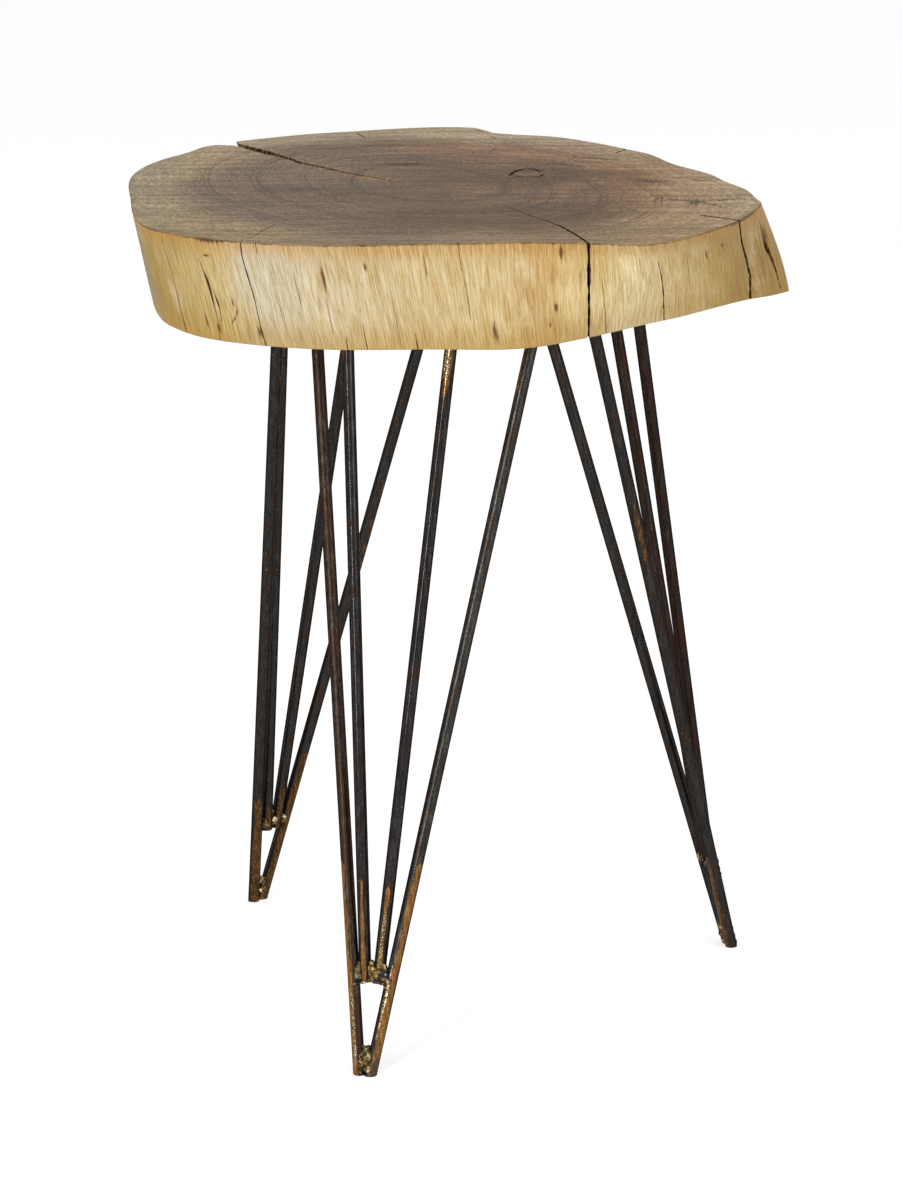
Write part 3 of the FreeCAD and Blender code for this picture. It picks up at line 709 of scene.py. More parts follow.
def end_grain(name, heart, heart_warm, heart_dark, glow_colour, sap_front, sap_back,
              roughness, saw_depth):
    """Wood sawn across its fibres: heart and sap colours and how rough it is."""
    tree, shader, material = new_material(name, Specular_IOR_Level=0.06)
    place = add(tree, "TexCoord").outputs["Object"]
    axes = add(tree, "SeparateXYZ", place)
    flat = add(tree, "VectorMath", place, (1, 1, 0), operation="MULTIPLY")
    wood = add(tree, "SeparateXYZ", add(tree, "UVMap", uv_map="wood"))

    # the rings sway by 3 mm and the sapwood's edge by 6 mm, over 90 mm
    sway = add(tree, "TexNoise", flat, 11, 3)
    sway = add(tree, "MapRange", sway, 0.3, 0.7, -0.006, 0.006)
    distance = add(tree, "Math", wood.outputs["X"], sway)
    ring = add(tree, "MapRange", sway, -0.006, 0.006, -0.003, 0.003)
    ring = add(tree, "Math", wood.outputs["Y"], ring)

    # years: uneven bands about 7 mm wide, and fine ones of 2 mm that fade from the pith
    bands = add(tree, "TexNoise", ring, 150, 2, noise_dimensions="1D")
    fine = add(tree, "TexNoise", ring, 520, 1, noise_dimensions="1D")
    fine = add(tree, "MapRange", fine, 0.35, 0.65, -0.5, 0.5)
    at_pith = add(tree, "MapRange", ring, 0.008, 0.022, 0.55, 0.04)
    fine = add(tree, "Math", fine, at_pith, operation="MULTIPLY")

    # the years that stand out: a dark line of 1 mm, softer over 4 mm, broken up over 60 mm
    gap = None
    for away, bold in CLEAR_RINGS:
        one = add(tree, "Math", add(tree, "Math", ring, -away), operation="ABSOLUTE")
        one = add(tree, "Math", one, 1 / bold, operation="MULTIPLY")
        gap = one if gap is None else add(tree, "Math", gap, one, operation="MINIMUM")
    line = [add(tree, "MapRange", gap, *span, interpolation_type="SMOOTHSTEP")
            for span in ((0.0003, 0.0016, 0.66, 0), (0.0005, 0.0045, 0.24, 0))]
    line = add(tree, "Math", *line, operation="MAXIMUM")
    patchy = add(tree, "TexNoise", flat, 17, 2)
    fade = add(tree, "MapRange", patchy, 0.36, 0.58, 0.30, 1)
    line = add(tree, "Math", line, fade, operation="MULTIPLY")

    # saw marks run straight along X, 9 mm apart and up to 140 mm long; arcs of 2 mm follow
    # the years; pores are 2 by 5 mm, coarser than real ones so that they show
    saw = drawn_out(tree, flat, (7, 115, 1), 4, 0.72, turn=0.03)
    outwards = add(tree, "VectorMath", flat, tuple(PITH), operation="SUBTRACT")
    outwards = add(tree, "VectorMath", outwards, operation="NORMALIZE")
    outwards = add(tree, "SeparateXYZ", outwards)
    arcs = add(tree, "CombineXYZ", ring, outwards.outputs["X"], outwards.outputs["Y"])
    arcs = drawn_out(tree, arcs, (460, 20, 20), 3, 0.65)
    pores = drawn_out(tree, flat, (420, 190, 1), 3, 0.7)
    broad = add(tree, "TexNoise", flat, 9, 4, 0.6)

    # heart: purplish brown in front, warmer towards the back and the right
    warm = [add(tree, "Math", axes.outputs[axis], share, operation="MULTIPLY")
            for axis, share in (("X", 0.9), ("Y", 0.8))]
    warm = add(tree, "Math", add(tree, "Math", *warm), broad)
    across = add(tree, "MapRange", axes.outputs["X"], -0.235, 0.235)
    colour = add(tree, "ValToRGB", across, stops=heart)
    colour = lay(tree, colour, warm, (0.50, 0.80, 0, 1), heart_warm)
    shade = torn_marks(tree, flat, TOP_SHADES, patchy, (0, 1, -0.6, 0.6))
    colour = lay(tree, colour, shade, (0.3, 1.3, 0.30, 0), heart_dark)
    glow = torn_marks(tree, flat, TOP_GLOW, patchy, (0, 1, -0.5, 0.5))
    colour = lay(tree, colour, glow, (0.3, 1.1, 0.50, 0), glow_colour)

    # sapwood: a pale band that follows the rim, greenish grey to the left
    edge = add(tree, "MapRange", broad, 0.3, 0.7, -0.016, 0.016)
    edge = add(tree, "Math", distance, edge)
    sapwood = add(tree, "ValToRGB", across, stops=sap_front)
    sapwood = lay(tree, sapwood, axes.outputs["Y"], (0.06, 0.17, 0, 1), sap_back)
    colour = lay(tree, colour, edge, (SAP_EDGE - 0.030, SAP_EDGE + 0.018, 0, 1), sapwood)

    # stains and the old branch, with soft uneven edges
    stain = torn_marks(tree, flat, TOP_STAINS, arcs, (0.3, 0.7, -0.4, 0.4))
    colour = lay(tree, colour, stain, (0.2, 1.2, 0.80, 0), heart_dark)

    # lightness of all the patterns together
    light = add(tree, "Math", add(tree, "MapRange", bands, 0.3, 0.7, 0.92, 1.07), fine)
    for pattern, low, high in ((saw, 0.79, 1.21), (pores, 0.82, 1.18), (arcs, 0.82, 1.17),
                               (broad, 0.93, 1.07)):
        part = add(tree, "MapRange", pattern, 0.4, 0.6, low, high)
        light = add(tree, "Math", light, part, operation="MULTIPLY")
    colour = add(tree, "VectorMath", colour, light, operation="MULTIPLY")
    colour = add(tree, "Mix", line, colour, heart_dark, data_type="RGBA")
    dull = add(tree, "MapRange", saw, 0.3, 0.7, roughness - 0.07, roughness + 0.08)
    surface(tree, shader, colour, dull, add(tree, "Math", saw, pores), saw_depth, 0.6)
    return material


# sanded and oiled: deep colour, hardly any gloss, and the saw marks still feel
oiled_top = end_grain(
    "oiled_end_grain_of_the_top",
    [(0.0, "#877663"), (0.22, "#7e6d5d"), (0.48, "#756250"), (0.68, "#705a49"),
     (0.84, "#8f714f"), (1.0, "#957b5d")], "#94765a", "#55443a", "#a58263",
    [(0.0, "#a2957b"), (0.14, "#a18b6a"), (0.40, "#867663"), (0.62, "#977f60"),
     (0.85, "#a1886a"), (1.0, "#b8a386")], "#ac9a7e", 0.62, 0.0003)
# straight from the saw: paler, duller and rougher
raw_underside = end_grain(
    "rough_sawn_end_grain_of_the_underside",
    [(0.0, "#8f795f"), (0.5, "#846e58"), (1.0, "#96795c")], "#96795c", "#57463a", "#a5805e",
    [(0.0, "#b5a688"), (0.5, "#bba784"), (1.0, "#c0a781")], "#bca682", 0.80, 0.0008)
print("end grain finishes:", oiled_top.name, "and", raw_underside.name)

# %% [markdown]
# The rim is the trunk's own surface under the bark: pale sapwood with long fibres. Oil and
# age made it ochre at the far left and at the bottom, cream in the middle and olive brown
# at the right. On the UV map each fibre runs straight up, so noise that is squeezed along
# the rim and stretched upwards draws fibres. Knots, bark pockets and scratches are marks.

# %% Peeled sapwood of the rim
RIM_TONES = [  # fibre, colour: ochre at the left, cream, straw, then brown at the right
    (-20, "#a3854b"), (60, "#b79b68"), (100, "#bfa36c"), (150, "#a3946f"), (206, "#958357"),
    (215, "#a98b3f"), (228, "#c4ae77"), (236, "#c9c0a6"), (258, "#c5b184"), (277, "#ccb684"),
    (284, "#bf9f68"), (291, "#cfb57b"), (297, "#eedba8"), (304, "#e0c68a"), (312, "#be9f57"),
    (320, "#a98a4c"),
]
RIM_KNOTS = [  # fibre, height, half width, half height in metres, turn in degrees
    (247.6, 0.048, 0.0011, 0.009, 0), (254.7, 0.055, 0.0012, 0.004, 0),
    (276.0, 0.011, 0.0021, 0.0075, 4), (288.9, 0.063, 0.0018, 0.0055, 0),
    (287.6, 0.025, 0.0014, 0.0036, 0), (286.4, 0.0135, 0.0008, 0.002, 0),
    (312.0, 0.050, 0.0013, 0.0042, 0), (316.6, 0.054, 0.0014, 0.0018, 0),
    (228.0, 0.036, 0.0011, 0.016, 0), (227.8, 0.009, 0.0020, 0.0040, 0),
    (231.7, 0.028, 0.0009, 0.004, 0), (231.9, 0.021, 0.0007, 0.003, -20),
    (231.2, 0.0165, 0.0007, 0.004, -42),
    (225.8, 0.012, 0.0009, 0.005, 0), (235.1, 0.009, 0.0014, 0.005, 0),
    (334.5, 0.045, 0.0036, 0.013, 0), (335.3, 0.022, 0.0012, 0.012, 0),
    (230.1, 0.0690, 0.0105, 0.0020, 0), (326.0, 0.0690, 0.0240, 0.0022, 0),
    (229.0, 0.0585, 0.0028, 0.0010, 0),
    (40.0, 0.030, 0.0040, 0.012, 0), (92.0, 0.045, 0.0035, 0.008, 0),
    (112.0, 0.022, 0.0030, 0.010, 0), (171.0, 0.030, 0.0025, 0.009, 0),
]
RIM_SCRATCHES = [  # thin dark fibres, in the same order
    (247.3, 0.026, 0.0006, 0.016, 0), (222.8, 0.060, 0.0006, 0.012, 0),
    (239.5, 0.030, 0.0005, 0.020, 0), (243.1, 0.045, 0.0006, 0.018, 0),
    (258.1, 0.020, 0.0005, 0.024, 0), (271.6, 0.030, 0.0006, 0.022, 0),
    (283.0, 0.010, 0.0010, 0.010, 0), (265.0, 0.055, 0.0006, 0.010, 0),
    (330.5, 0.030, 0.0006, 0.024, 0), (307.0, 0.040, 0.0005, 0.016, 0),
    (60.0, 0.035, 0.0007, 0.026, 0), (78.0, 0.020, 0.0008, 0.018, 0),
    (125.0, 0.040, 0.0007, 0.024, 0), (155.0, 0.030, 0.0007, 0.026, 0),
    (185.0, 0.045, 0.0006, 0.020, 0), (198.0, 0.025, 0.0007, 0.022, 0),
]


# dry, peeled sapwood: silky, a little shiny, each fibre paler or browner than the next
tree, shader, peeled_rim = new_material("peeled_sapwood_of_the_rim", Specular_IOR_Level=0.3)
wood = add(tree, "UVMap", uv_map="wood")
axes = add(tree, "SeparateXYZ", wood)
along_rim, up_rim = axes.outputs["X"], axes.outputs["Y"]
sway = add(tree, "MapRange", add(tree, "TexNoise", wood, 22, 3), 0.3, 0.7, -0.012, 0.012)
tone_place = add(tree, "Math", add(tree, "MapRange", along_rim, 0, RIM_LENGTH), sway)
tones = [(rim_place(fibre) / RIM_LENGTH, tone) for fibre, tone in RIM_TONES]
colour = add(tree, "ValToRGB", tone_place, stops=tones + [(1, RIM_TONES[0][1])])
wobble = add(tree, "MapRange", add(tree, "TexNoise", wood, 16, 1), 0.3, 0.7, -0.0005, 0.0005)
wavy = add(tree, "VectorMath", wood, add(tree, "CombineXYZ", wobble))
wide_streaks = drawn_out(tree, wavy, (150, 14, 1), 3, 0.6)  # 7 by 70 mm
streaks = drawn_out(tree, wavy, (660, 33, 1), 4, 0.75)  # 1.5 by 30 mm
threads = drawn_out(tree, wavy, (1300, 50, 1), 3, 0.7)  # 0.8 by 20 mm
blotches = drawn_out(tree, wavy, (34, 24, 1), 4, 0.6)  # 30 by 40 mm
dashes = drawn_out(tree, wavy, (900, 60, 1))  # 1.1 by 17 mm, short pores
grain = add(tree, "Math", streaks, threads)


def rim_marks(rows):
    """Marks on the rim, torn by its grain: a row's fibre becomes metres along the rim."""
    rows = [(rim_place(fibre), *row) for fibre, *row in rows]
    return torn_marks(tree, wood, rows, grain, (0.6, 1.4, -0.75, 0.75))


# ochre and cream streaks, and the yellow of old oil along both edges
colour = lay(tree, colour, wide_streaks, (0.48, 0.68, 0, 0.26), "#b98d48")
colour = lay(tree, colour, blotches, (0.52, 0.72, 0, 0.45), "#dccba2")
less = add(tree, "MapRange", along_rim, rim_place(284), rim_place(296), 1, 0.35)
colour = lay(tree, colour, up_rim, (0.0, 0.026, 0.66, 0), "#b08b3e", times=less)
colour = lay(tree, colour, up_rim, (0.054, 0.069, 0, 0.60), "#b5873f")
for pattern, low, high, dark, light in (
        (streaks, 0.40, 0.60, (0.86, 0.79, 0.61), (1.11, 1.16, 1.34)),
        (threads, 0.36, 0.52, (0.74, 0.63, 0.44), (1.05, 1.06, 1.09))):
    part = add(tree, "MapRange", pattern, (low,) * 3, (high,) * 3, dark, light,
               data_type="FLOAT_VECTOR")
    colour = add(tree, "VectorMath", colour, part, operation="MULTIPLY")
colour = lay(tree, colour, dashes, (0.62, 0.72, 0, 0.50), "#7d5e34")

# knots and scratches with torn edges, and the burnt looking line under the top edge
knots = rim_marks(RIM_KNOTS)
colour = lay(tree, colour, knots, (0.6, 2.0, 0.36, 0), "#a8793c")
knot = add(tree, "MapRange", knots, 0.45, 1.0, 0.88, 0, interpolation_type="SMOOTHSTEP")
colour = add(tree, "Mix", knot, colour, "#5c3313", data_type="RGBA")
colour = lay(tree, colour, rim_marks(RIM_SCRATCHES), (0.5, 1.0, 0.70, 0), "#6b4c28")
ragged = add(tree, "MapRange", wide_streaks, 0.3, 0.7, -0.0006, 0.0008)
under_edge = add(tree, "Math", up_rim, ragged)
broken = add(tree, "MapRange", blotches, 0.38, 0.58, 0.92, 0.40)
colour = lay(tree, colour, under_edge, (0.0686, 0.0693, 0, 1), "#4f3a24", times=broken)
dull = add(tree, "MapRange", streaks, 0.3, 0.7, 0.50, 0.68)
relief = add(tree, "Math", grain, knot, operation="SUBTRACT")
surface(tree, shader, colour, dull, relief, 0.0003, 0.6)
print("rim finish:", peeled_rim.name, "with", len(tree.nodes), "nodes")

# %% [markdown]
# Inside a crack the wood was torn, not cut: brown, with paler splinters that run up and down.
# The front split, the deepest rim check and the checks in the top get darker walls, a painted
# shade for their depth. The shallow checks of the rim are brown and get a lighter finish.


# %% Torn crack walls
def torn_wood(name, dark, middle, pale):
    """The torn, fibrous wall of a crack: dull, with splinters of 2 by 22 mm."""
    tree, shader, material = new_material(name, Specular_IOR_Level=0.2)
    place = add(tree, "TexCoord").outputs["Object"]
    splinters = drawn_out(tree, place, (420, 420, 45), 3)
    colour = add(tree, "ValToRGB", splinters, stops=[
        (0.36, dark), (0.52, middle), (0.68, pale)])
    dull = add(tree, "MapRange", splinters, 0, 1, 0.75, 0.95)
    surface(tree, shader, colour, dull, splinters, 0.0012, 0.9)
    return material


# painted shade: these walls are darker than the wood, for the shade deep in a narrow crack
deep_wall_with_painted_shade = torn_wood("torn_fibre_of_deep_splits", "#1b130c", "#432f1d", "#846740")
rear_wall = torn_wood("torn_fibre_of_the_rear_split", "#2c1e11", "#634829", "#ab8a55")
shallow_wall = torn_wood("torn_fibre_of_shallow_checks", "#4c2e16", "#704b24", "#a67f4a")
print("crack wall finishes:", deep_wall_with_painted_shade.name, rear_wall.name, shallow_wall.name)

# %% Cut them all at once
for finish in (oiled_top, peeled_rim, raw_underside):
    slab.data.materials.append(finish)
for cutter in cutters:
    # the deep cuts get the walls darkened as painted shade, the shallow ones the lighter brown
    deep = any(word in cutter.name for word in ("split", "right", "top"))
    wall = rear_wall if cutter is rear_split else deep_wall_with_painted_shade if deep else shallow_wall
    cutter.data.materials.append(wall)
bpy.ops.object.select_all(action="DESELECT")
for cutter in cutters:
    cutter.select_set(True)
bpy.context.view_layer.objects.active = cutters[0]
bpy.ops.object.join()
blades = bpy.context.object
turn_faces_out()
bpy.ops.object.select_all(action="DESELECT")
slab.select_set(True)
bpy.context.view_layer.objects.active = slab
split = slab.modifiers.new("Splits", "BOOLEAN")
split.operation = "DIFFERENCE"
split.solver = "MANIFOLD"
split.material_mode = "TRANSFER"
split.object = blades
bpy.ops.object.modifier_apply(modifier=split.name)
bpy.data.objects.remove(blades, do_unlink=True)
bpy.ops.object.shade_smooth_by_angle(angle=math.radians(40))
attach(slab, "root")
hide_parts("slab")
print("slab after cutting:", len(slab.data.polygons), "faces, materials",
      [one.name if one else None for one in slab.data.materials])

# %% [markdown]
# ## The steel rods
# The legs are bars of mild steel, black from the mill, cut level at the floor and under the
# plates. A cylinder is placed on each CAD rod's axis and its ends are cut level with two
# bisects. Rust started where the legs were brushed clean for welding: it runs up one side
# of each rod from the foot. The UV map gives each rod its own start for that: across, how
# far round from its rusty side; up, the height as a share of how far its rust reaches.

# %% Blackened steel with rust that climbs from the foot
def black_bar(name, dark, middle, light, film, film_share, shine, rusts):
    """Hot rolled bar in its mill scale: scale colours, brown film over it, and its rusts."""
    tree, shader, material = new_material(name, Specular_IOR_Level=0.06,
                                          Specular_Tint="#1a1a1a")
    place = add(tree, "TexCoord").outputs["Object"]

    # scale: streaks of 2 by 42 mm and grit of 1 mm, with a brown film in clouds of 17 mm
    streak = drawn_out(tree, place, (500, 500, 24), 3)
    grit = add(tree, "TexNoise", place, 900, 2)
    cloud = add(tree, "TexNoise", place, 60, 4)
    tone = add(tree, "Math", add(tree, "Math", streak, grit), 0.5, operation="MULTIPLY")
    scale_black = add(tree, "ValToRGB", tone, stops=[
        (0.36, dark), (0.50, middle), (0.64, light)])
    colour = lay(tree, scale_black, cloud, (0.62 - film_share, 0.78 - film_share, 0, 0.8),
                 film)

    # rust: one side of the bar, wider towards the foot, with a blunt tip
    axes = add(tree, "SeparateXYZ", add(tree, "UVMap", uv_map="rust"))
    side = add(tree, "Math", axes.outputs["X"], operation="ABSOLUTE")
    broader = add(tree, "MapRange", axes.outputs["Y"], 0, 1, 1.40, 0.85)
    tip = add(tree, "MapRange", axes.outputs["Y"], 0.975, 1, 0, 1.1)
    wander = add(tree, "MapRange", cloud, 0.3, 0.7, -0.28, 0.28)
    rust = add(tree, "Math", broader, side, operation="SUBTRACT")
    rust = add(tree, "Math", rust, tip, operation="SUBTRACT")
    rust = add(tree, "MapRange", add(tree, "Math", rust, wander), -0.10, 0.10,
               interpolation_type="SMOOTHSTEP")
    rust_colour = add(tree, "ValToRGB", tone, stops=list(zip((0.38, 0.50, 0.64), rusts)))
    colour = add(tree, "Mix", rust, colour, rust_colour, data_type="RGBA")
    flecks = add(tree, "TexNoise", place, 330, 1)  # specks of 3 mm
    colour = lay(tree, colour, flecks, (0.74, 0.80, 0, 0.7), "#7d5a3a", ease="LINEAR")

    # two patches with a place of their own: rusty, but bare near the floor
    near = {}
    for name in ("patch", "top", "gold"):
        length = add(tree, "VectorMath", add(tree, "UVMap", uv_map=name), operation="LENGTH")
        near[name] = add(tree, "Math", length, wander)
    stained = [add(tree, "MapRange", near[name], 0.70, 1.05, 1, 0) for name in ("patch", "top")]
    stained = add(tree, "Math", *stained, operation="MAXIMUM")
    thin = add(tree, "MapRange", streak, 0.38, 0.60, 0.35, 0.95)
    stained = add(tree, "Math", stained, thin, operation="MULTIPLY")
    height = add(tree, "SeparateXYZ", place).outputs["Z"]
    patch_colour = lay(tree, rust_colour, height, (0.020, 0.030, 1, 0), scale_black,
                       ease="LINEAR")
    colour = add(tree, "Mix", stained, colour, patch_colour, data_type="RGBA")

    # weld spatter in a patch near the plate, and near the foot a painted glint of pale flecks
    spread = add(tree, "MapRange", near["patch"], 0.38, 0.56, 1, 0)
    high = add(tree, "MapRange", height, 0.484, 0.490)
    spatter_and_painted_glint = add(tree, "Math", spread, high, operation="MULTIPLY")
    # painted glint: pale gold flecks down the lit side near the foot, where the lamps' line falls
    painted_glint_line = add(tree, "MapRange", near["gold"], 0.80, 1.05, 1, 0)
    spatter_and_painted_glint = add(tree, "Math", spatter_and_painted_glint, painted_glint_line, operation="MAXIMUM")
    gold = add(tree, "ValToRGB", grit, stops=[
        (0.40, "#4e3c24"), (0.52, "#877048"), (0.64, "#d9cca6")])
    colour = add(tree, "Mix", spatter_and_painted_glint, colour, gold, data_type="RGBA")

    # scale is mostly metal and can shine, rust is dull and pitted
    put(shader.inputs["Metallic"], add(tree, "MapRange", rust, 0, 1, 0.75, 0.10))
    dull = add(tree, "MapRange", grit, 0.3, 0.7, shine, shine + 0.05)
    pitted = add(tree, "Math", rust, 0.04)
    pitted = add(tree, "Math", grit, pitted, operation="MULTIPLY")
    surface(tree, shader, colour, dull, pitted, 0.00016, 0.5)
    return material


# smooth grey mill scale gives a thin bright line, a film of brown rust takes it away
BRIGHT_RUST = ("#5f4022", "#80592e", "#a47947")
OLD_RUST = ("#37281a", "#55391f", "#7d5a35")
SMOOTH, GREYED, BROWNED, DULL, REDDISH = (
    black_bar(f"{look}_mill_scale_on_hot_rolled_bar", *row) for look, *row in (
        ("smooth", "#232120", "#2d2a29", "#413e3c", "#36291f", 0.06, 0.09, BRIGHT_RUST),
        ("rubbed", "#282624", "#383532", "#504c48", "#372d27", 0.14, 0.26, BRIGHT_RUST),
        ("browned", "#28201b", "#372c26", "#4b413a", "#3a2a21", 0.16, 0.36, BRIGHT_RUST),
        ("dull", "#262321", "#312e2c", "#413b36", "#372a22", 0.06, 0.26, OLD_RUST),
        ("reddish", "#221b18", "#2e2521", "#3e3430", "#36241c", 0.12, 0.34, OLD_RUST)))
print("rod finishes:", [one.name for one in (SMOOTH, GREYED, BROWNED, DULL, REDDISH)])

# %% Model one rod on its CAD axis
ROD_SIDES = 32
ROD_RADIUS = 0.0044
TOWARDS_CAMERA = -90.0  # the turn round a rod that faces the camera, in degrees
SPARE_LENGTH = 0.02  # cut off again when the ends are made level
INTO_WELD = 0.003  # the short rods end this far up inside the bridging weld
NOWHERE = (0, 30, -1.0, 0.01)  # side, half width, height and half length of no patch


def map_side(mesh, name, turn, up):
    """Fill a UV map from each point's turn round the rod and its way up, seam included."""
    uv = mesh.uv_layers.new(name=name)
    whole = 2 * abs(turn).max()
    for face in mesh.polygons:
        turns = [turn[index] for index in face.vertices]
        wraps = max(turns) - min(turns) > whole / 2
        for corner, index in zip(face.loop_indices, face.vertices):
            value = turn[index] + whole if wraps and turn[index] < 0 else turn[index]
            uv.data[corner].uv = (value, up[index])


def rod(node, finish, rusty_side, half_width, reach, patch=NOWHERE, gold=NOWHERE,
        top=NOWHERE):
    """A rod with level ends, and where its rust, patches, weld spatter and painted glint are."""
    cad = points_of(nodes[node].data)
    low, high = cad[:, 2].min(), cad[:, 2].max()
    foot, head = (cad[abs(cad[:, 2] - end) < 1e-5] for end in (low, high))
    foot, head = (Vector((end.min(0) + end.max(0)) / 2) for end in (foot, head))
    axis = (head - foot).normalized()
    bpy.ops.object.select_all(action="DESELECT")
    bpy.ops.mesh.primitive_cylinder_add(
        vertices=ROD_SIDES, radius=ROD_RADIUS, depth=(head - foot).length + SPARE_LENGTH,
        location=(foot + head) / 2, rotation=axis.to_track_quat("Z", "Y").to_euler(),
        end_fill_type="NOTHING")
    made = bpy.context.object
    made.name = node.replace("_rod", "_bar")
    bpy.ops.object.transform_apply(location=True, rotation=True, scale=True)
    bpy.ops.object.mode_set(mode="EDIT")
    bottom = low + (INTO_WELD if "inner" in node else 0)
    for height, above in ((bottom, False), (high, True)):
        bpy.ops.mesh.select_all(action="SELECT")
        bpy.ops.mesh.bisect(plane_co=(0, 0, height), plane_no=(0, 0, 1), use_fill=True,
                            clear_inner=not above, clear_outer=above)
    bpy.ops.object.mode_set(mode="OBJECT")
    turn_faces_out()
    mesh = made.data
    points = points_of(mesh)
    share = (points[:, 2] - foot.z) / (head.z - foot.z)
    middle = np.array(foot) + share[:, None] * np.array(head - foot)
    away = points - middle
    around = np.degrees(np.arctan2(away[:, 1], away[:, 0])) - TOWARDS_CAMERA
    rust = (rusty_side, half_width, 0, reach)
    for name, (side, half, height, length) in (("rust", rust), ("patch", patch),
                                               ("gold", gold), ("top", top)):
        map_side(mesh, name, ((around - side + 180) % 360 - 180) / half,
                 (points[:, 2] - height) / length)
    mesh.materials.append(finish)
    bpy.ops.object.shade_smooth_by_angle(angle=math.radians(40))
    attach(made, "root")
    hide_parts(node)
    return made


print("the bar is", round(ROD_RADIUS * 2000, 1), "mm thick")

# %% The twelve rods
RODS = {  # finish, rusty side from the camera, half its width in degrees, reach in metres,
    # then the patch, the painted glint and a second patch: side, half width, height, half length
    "front_leg_outer_rod_left": (BROWNED, -66, 38, 0.146, NOWHERE, (-28, 15, 0.036, 0.030)),
    "front_leg_outer_rod_right": (GREYED, 24, 28, 0.150, (40, 56, 0.003, 0.016),
                                  (-24, 12, 0.050, 0.027), (-58, 26, 0.500, 0.034)),
    "front_leg_inner_rod_left": (SMOOTH, -13, 17, 0.138, (-50, 44, 0.517, 0.026)),
    "front_leg_inner_rod_right": (SMOOTH, -9, 20, 0.134, (-18, 44, 0.506, 0.030),
                                  (-10, 15, 0.092, 0.022)),
    "left_leg_outer_rod_left": (DULL, 15, 40, 0.095, (60, 26, 0.455, 0.008)),
    "left_leg_outer_rod_right": (DULL, 35, 40, 0.125, (58, 38, 0.300, 0.052)),
    "left_leg_inner_rod_left": (DULL, 20, 30, 0.085, (10, 24, 0.462, 0.012)),
    "left_leg_inner_rod_right": (DULL, 20, 26, 0.100, (-30, 24, 0.330, 0.010)),
    "right_leg_outer_rod_front": (DULL, -50, 26, 0.080, (10, 24, 0.345, 0.030)),
    "right_leg_outer_rod_rear": (DULL, 45, 30, 0.085),
    "right_leg_inner_rod_front": (REDDISH, 0, 24, 0.080),
    "right_leg_inner_rod_rear": (REDDISH, 40, 26, 0.075),
}
bars = [rod(node, *row) for node, row in RODS.items()]
print(len(bars), "rods of", ROD_SIDES, "sides")

# %% [markdown]
# ## Welds
# The rods were joined by hand with a stick welder, which leaves overlapping lumps with
# ripples, pits and drops of spatter. Each CAD weld is copied, its corners are rounded by a
# voxel remesh, and noise pushes its skin in and out. The skin ends just inside the rods,
# so bead and rod grow together as real ones do.

# %% Where a leg's welds are
LEG_DIRECTIONS = {"right_leg": 13.9, "left_leg": 134.2, "front_leg": 252.2}
LEG_LEAN = 0.264  # every leg comes in by this much for each unit of height
BLUE_SPOTS = [  # weld, then across, out of the leg's plane and up from its middle, radius in mm
    ("bridge", 8.8, 3.4, 5.0, 4.6), ("foot", -3.2, 3.2, -1.0, 1.6),
]
OLIVE_SPOTS = [
    ("bridge", -10.3, 3.0, 3.5, 5.6), ("foot", 0.0, 3.0, 7.0, 4.0), ("foot", 3.0, 3.2, 1.0, 3.0),
]


def leg_sides(node):
    """A weld's middle, its leg's way out from the table and its way across, as vectors."""
    low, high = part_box(node)
    turn = Matrix.Rotation(math.radians(LEG_DIRECTIONS[node[:node.index("_leg") + 4]]), 3, "Z")
    outwards = turn @ Vector((1, 0, 0))
    return (low + high) / 2, outwards, Vector((-outwards.y, outwards.x, 0))


def beside(node, across, out, up):
    """A point given in millimetres across, out and up from a weld's middle."""
    middle, outwards, sideways = leg_sides(node)
    place = middle + (sideways * across + outwards * (out - LEG_LEAN * up)) / 1000
    return place + Vector((0, 0, up / 1000))


def spots_on_legs(spots):
    """The same small balls on the welds of all three legs."""
    return [(tuple(beside(f"{leg}_{weld}_weld", across, out, up)), (size / 1000,) * 3, 0)
            for leg in LEG_DIRECTIONS for weld, across, out, up, size in spots]


print("a bridging weld's middle:", leg_sides("front_leg_bridge_weld")[0])

# %% Weld metal
# stick weld as it cooled: half bright, straw, olive and blue, in lumps of 3 mm with drops
# of 10 mm and dark pits 2 mm apart; the palest stop of each ramp is a painted glint
tree, shader, weld_steel = new_material("hand_laid_weld_metal", Metallic=0.5,
                                        Specular_Tint="#303030")
place = add(tree, "TexCoord").outputs["Object"]
lumps = add(tree, "TexNoise", place, 300, 3)
drops = add(tree, "TexNoise", place, 95, 1)
pits = add(tree, "TexVoronoi", place, 430)
# painted glints: the palest stop of each ramp stands for highlights on the lumps' crowns
straw_with_painted_glint, blued_with_painted_glint, olive_with_painted_glint = (add(tree, "ValToRGB", lumps, stops=stops) for stops in (
    [(0.34, "#2a2116"), (0.44, "#564329"), (0.53, "#84693a"), (0.62, "#b59b64"),
     (0.70, "#efe7cf")],
    [(0.34, "#141519"), (0.50, "#272b31"), (0.60, "#4e555d"), (0.68, "#b4bbc2")],
    [(0.34, "#2a261a"), (0.48, "#5b533b"), (0.58, "#837a5c"), (0.68, "#bdb596")]))
colour = lay(tree, straw_with_painted_glint, drops, (0.60, 0.67, 0, 1), blued_with_painted_glint)
for spots, finish in ((OLIVE_SPOTS, olive_with_painted_glint), (BLUE_SPOTS, blued_with_painted_glint)):
    spot = nearest(tree, place, spots_on_legs(spots))
    colour = lay(tree, colour, spot, (0.75, 1.05, 1, 0), finish, ease="LINEAR")
pit = add(tree, "MapRange", pits, 0.10, 0.35, 0.8, 0)
colour = add(tree, "Mix", pit, colour, "#22190f", data_type="RGBA")
dull = add(tree, "MapRange", lumps, 0.35, 0.65, 0.55, 0.26)
surface(tree, shader, colour, dull, add(tree, "Math", lumps, pit, operation="SUBTRACT"),
        0.0006, 0.8)
print("weld finish:", weld_steel.name)


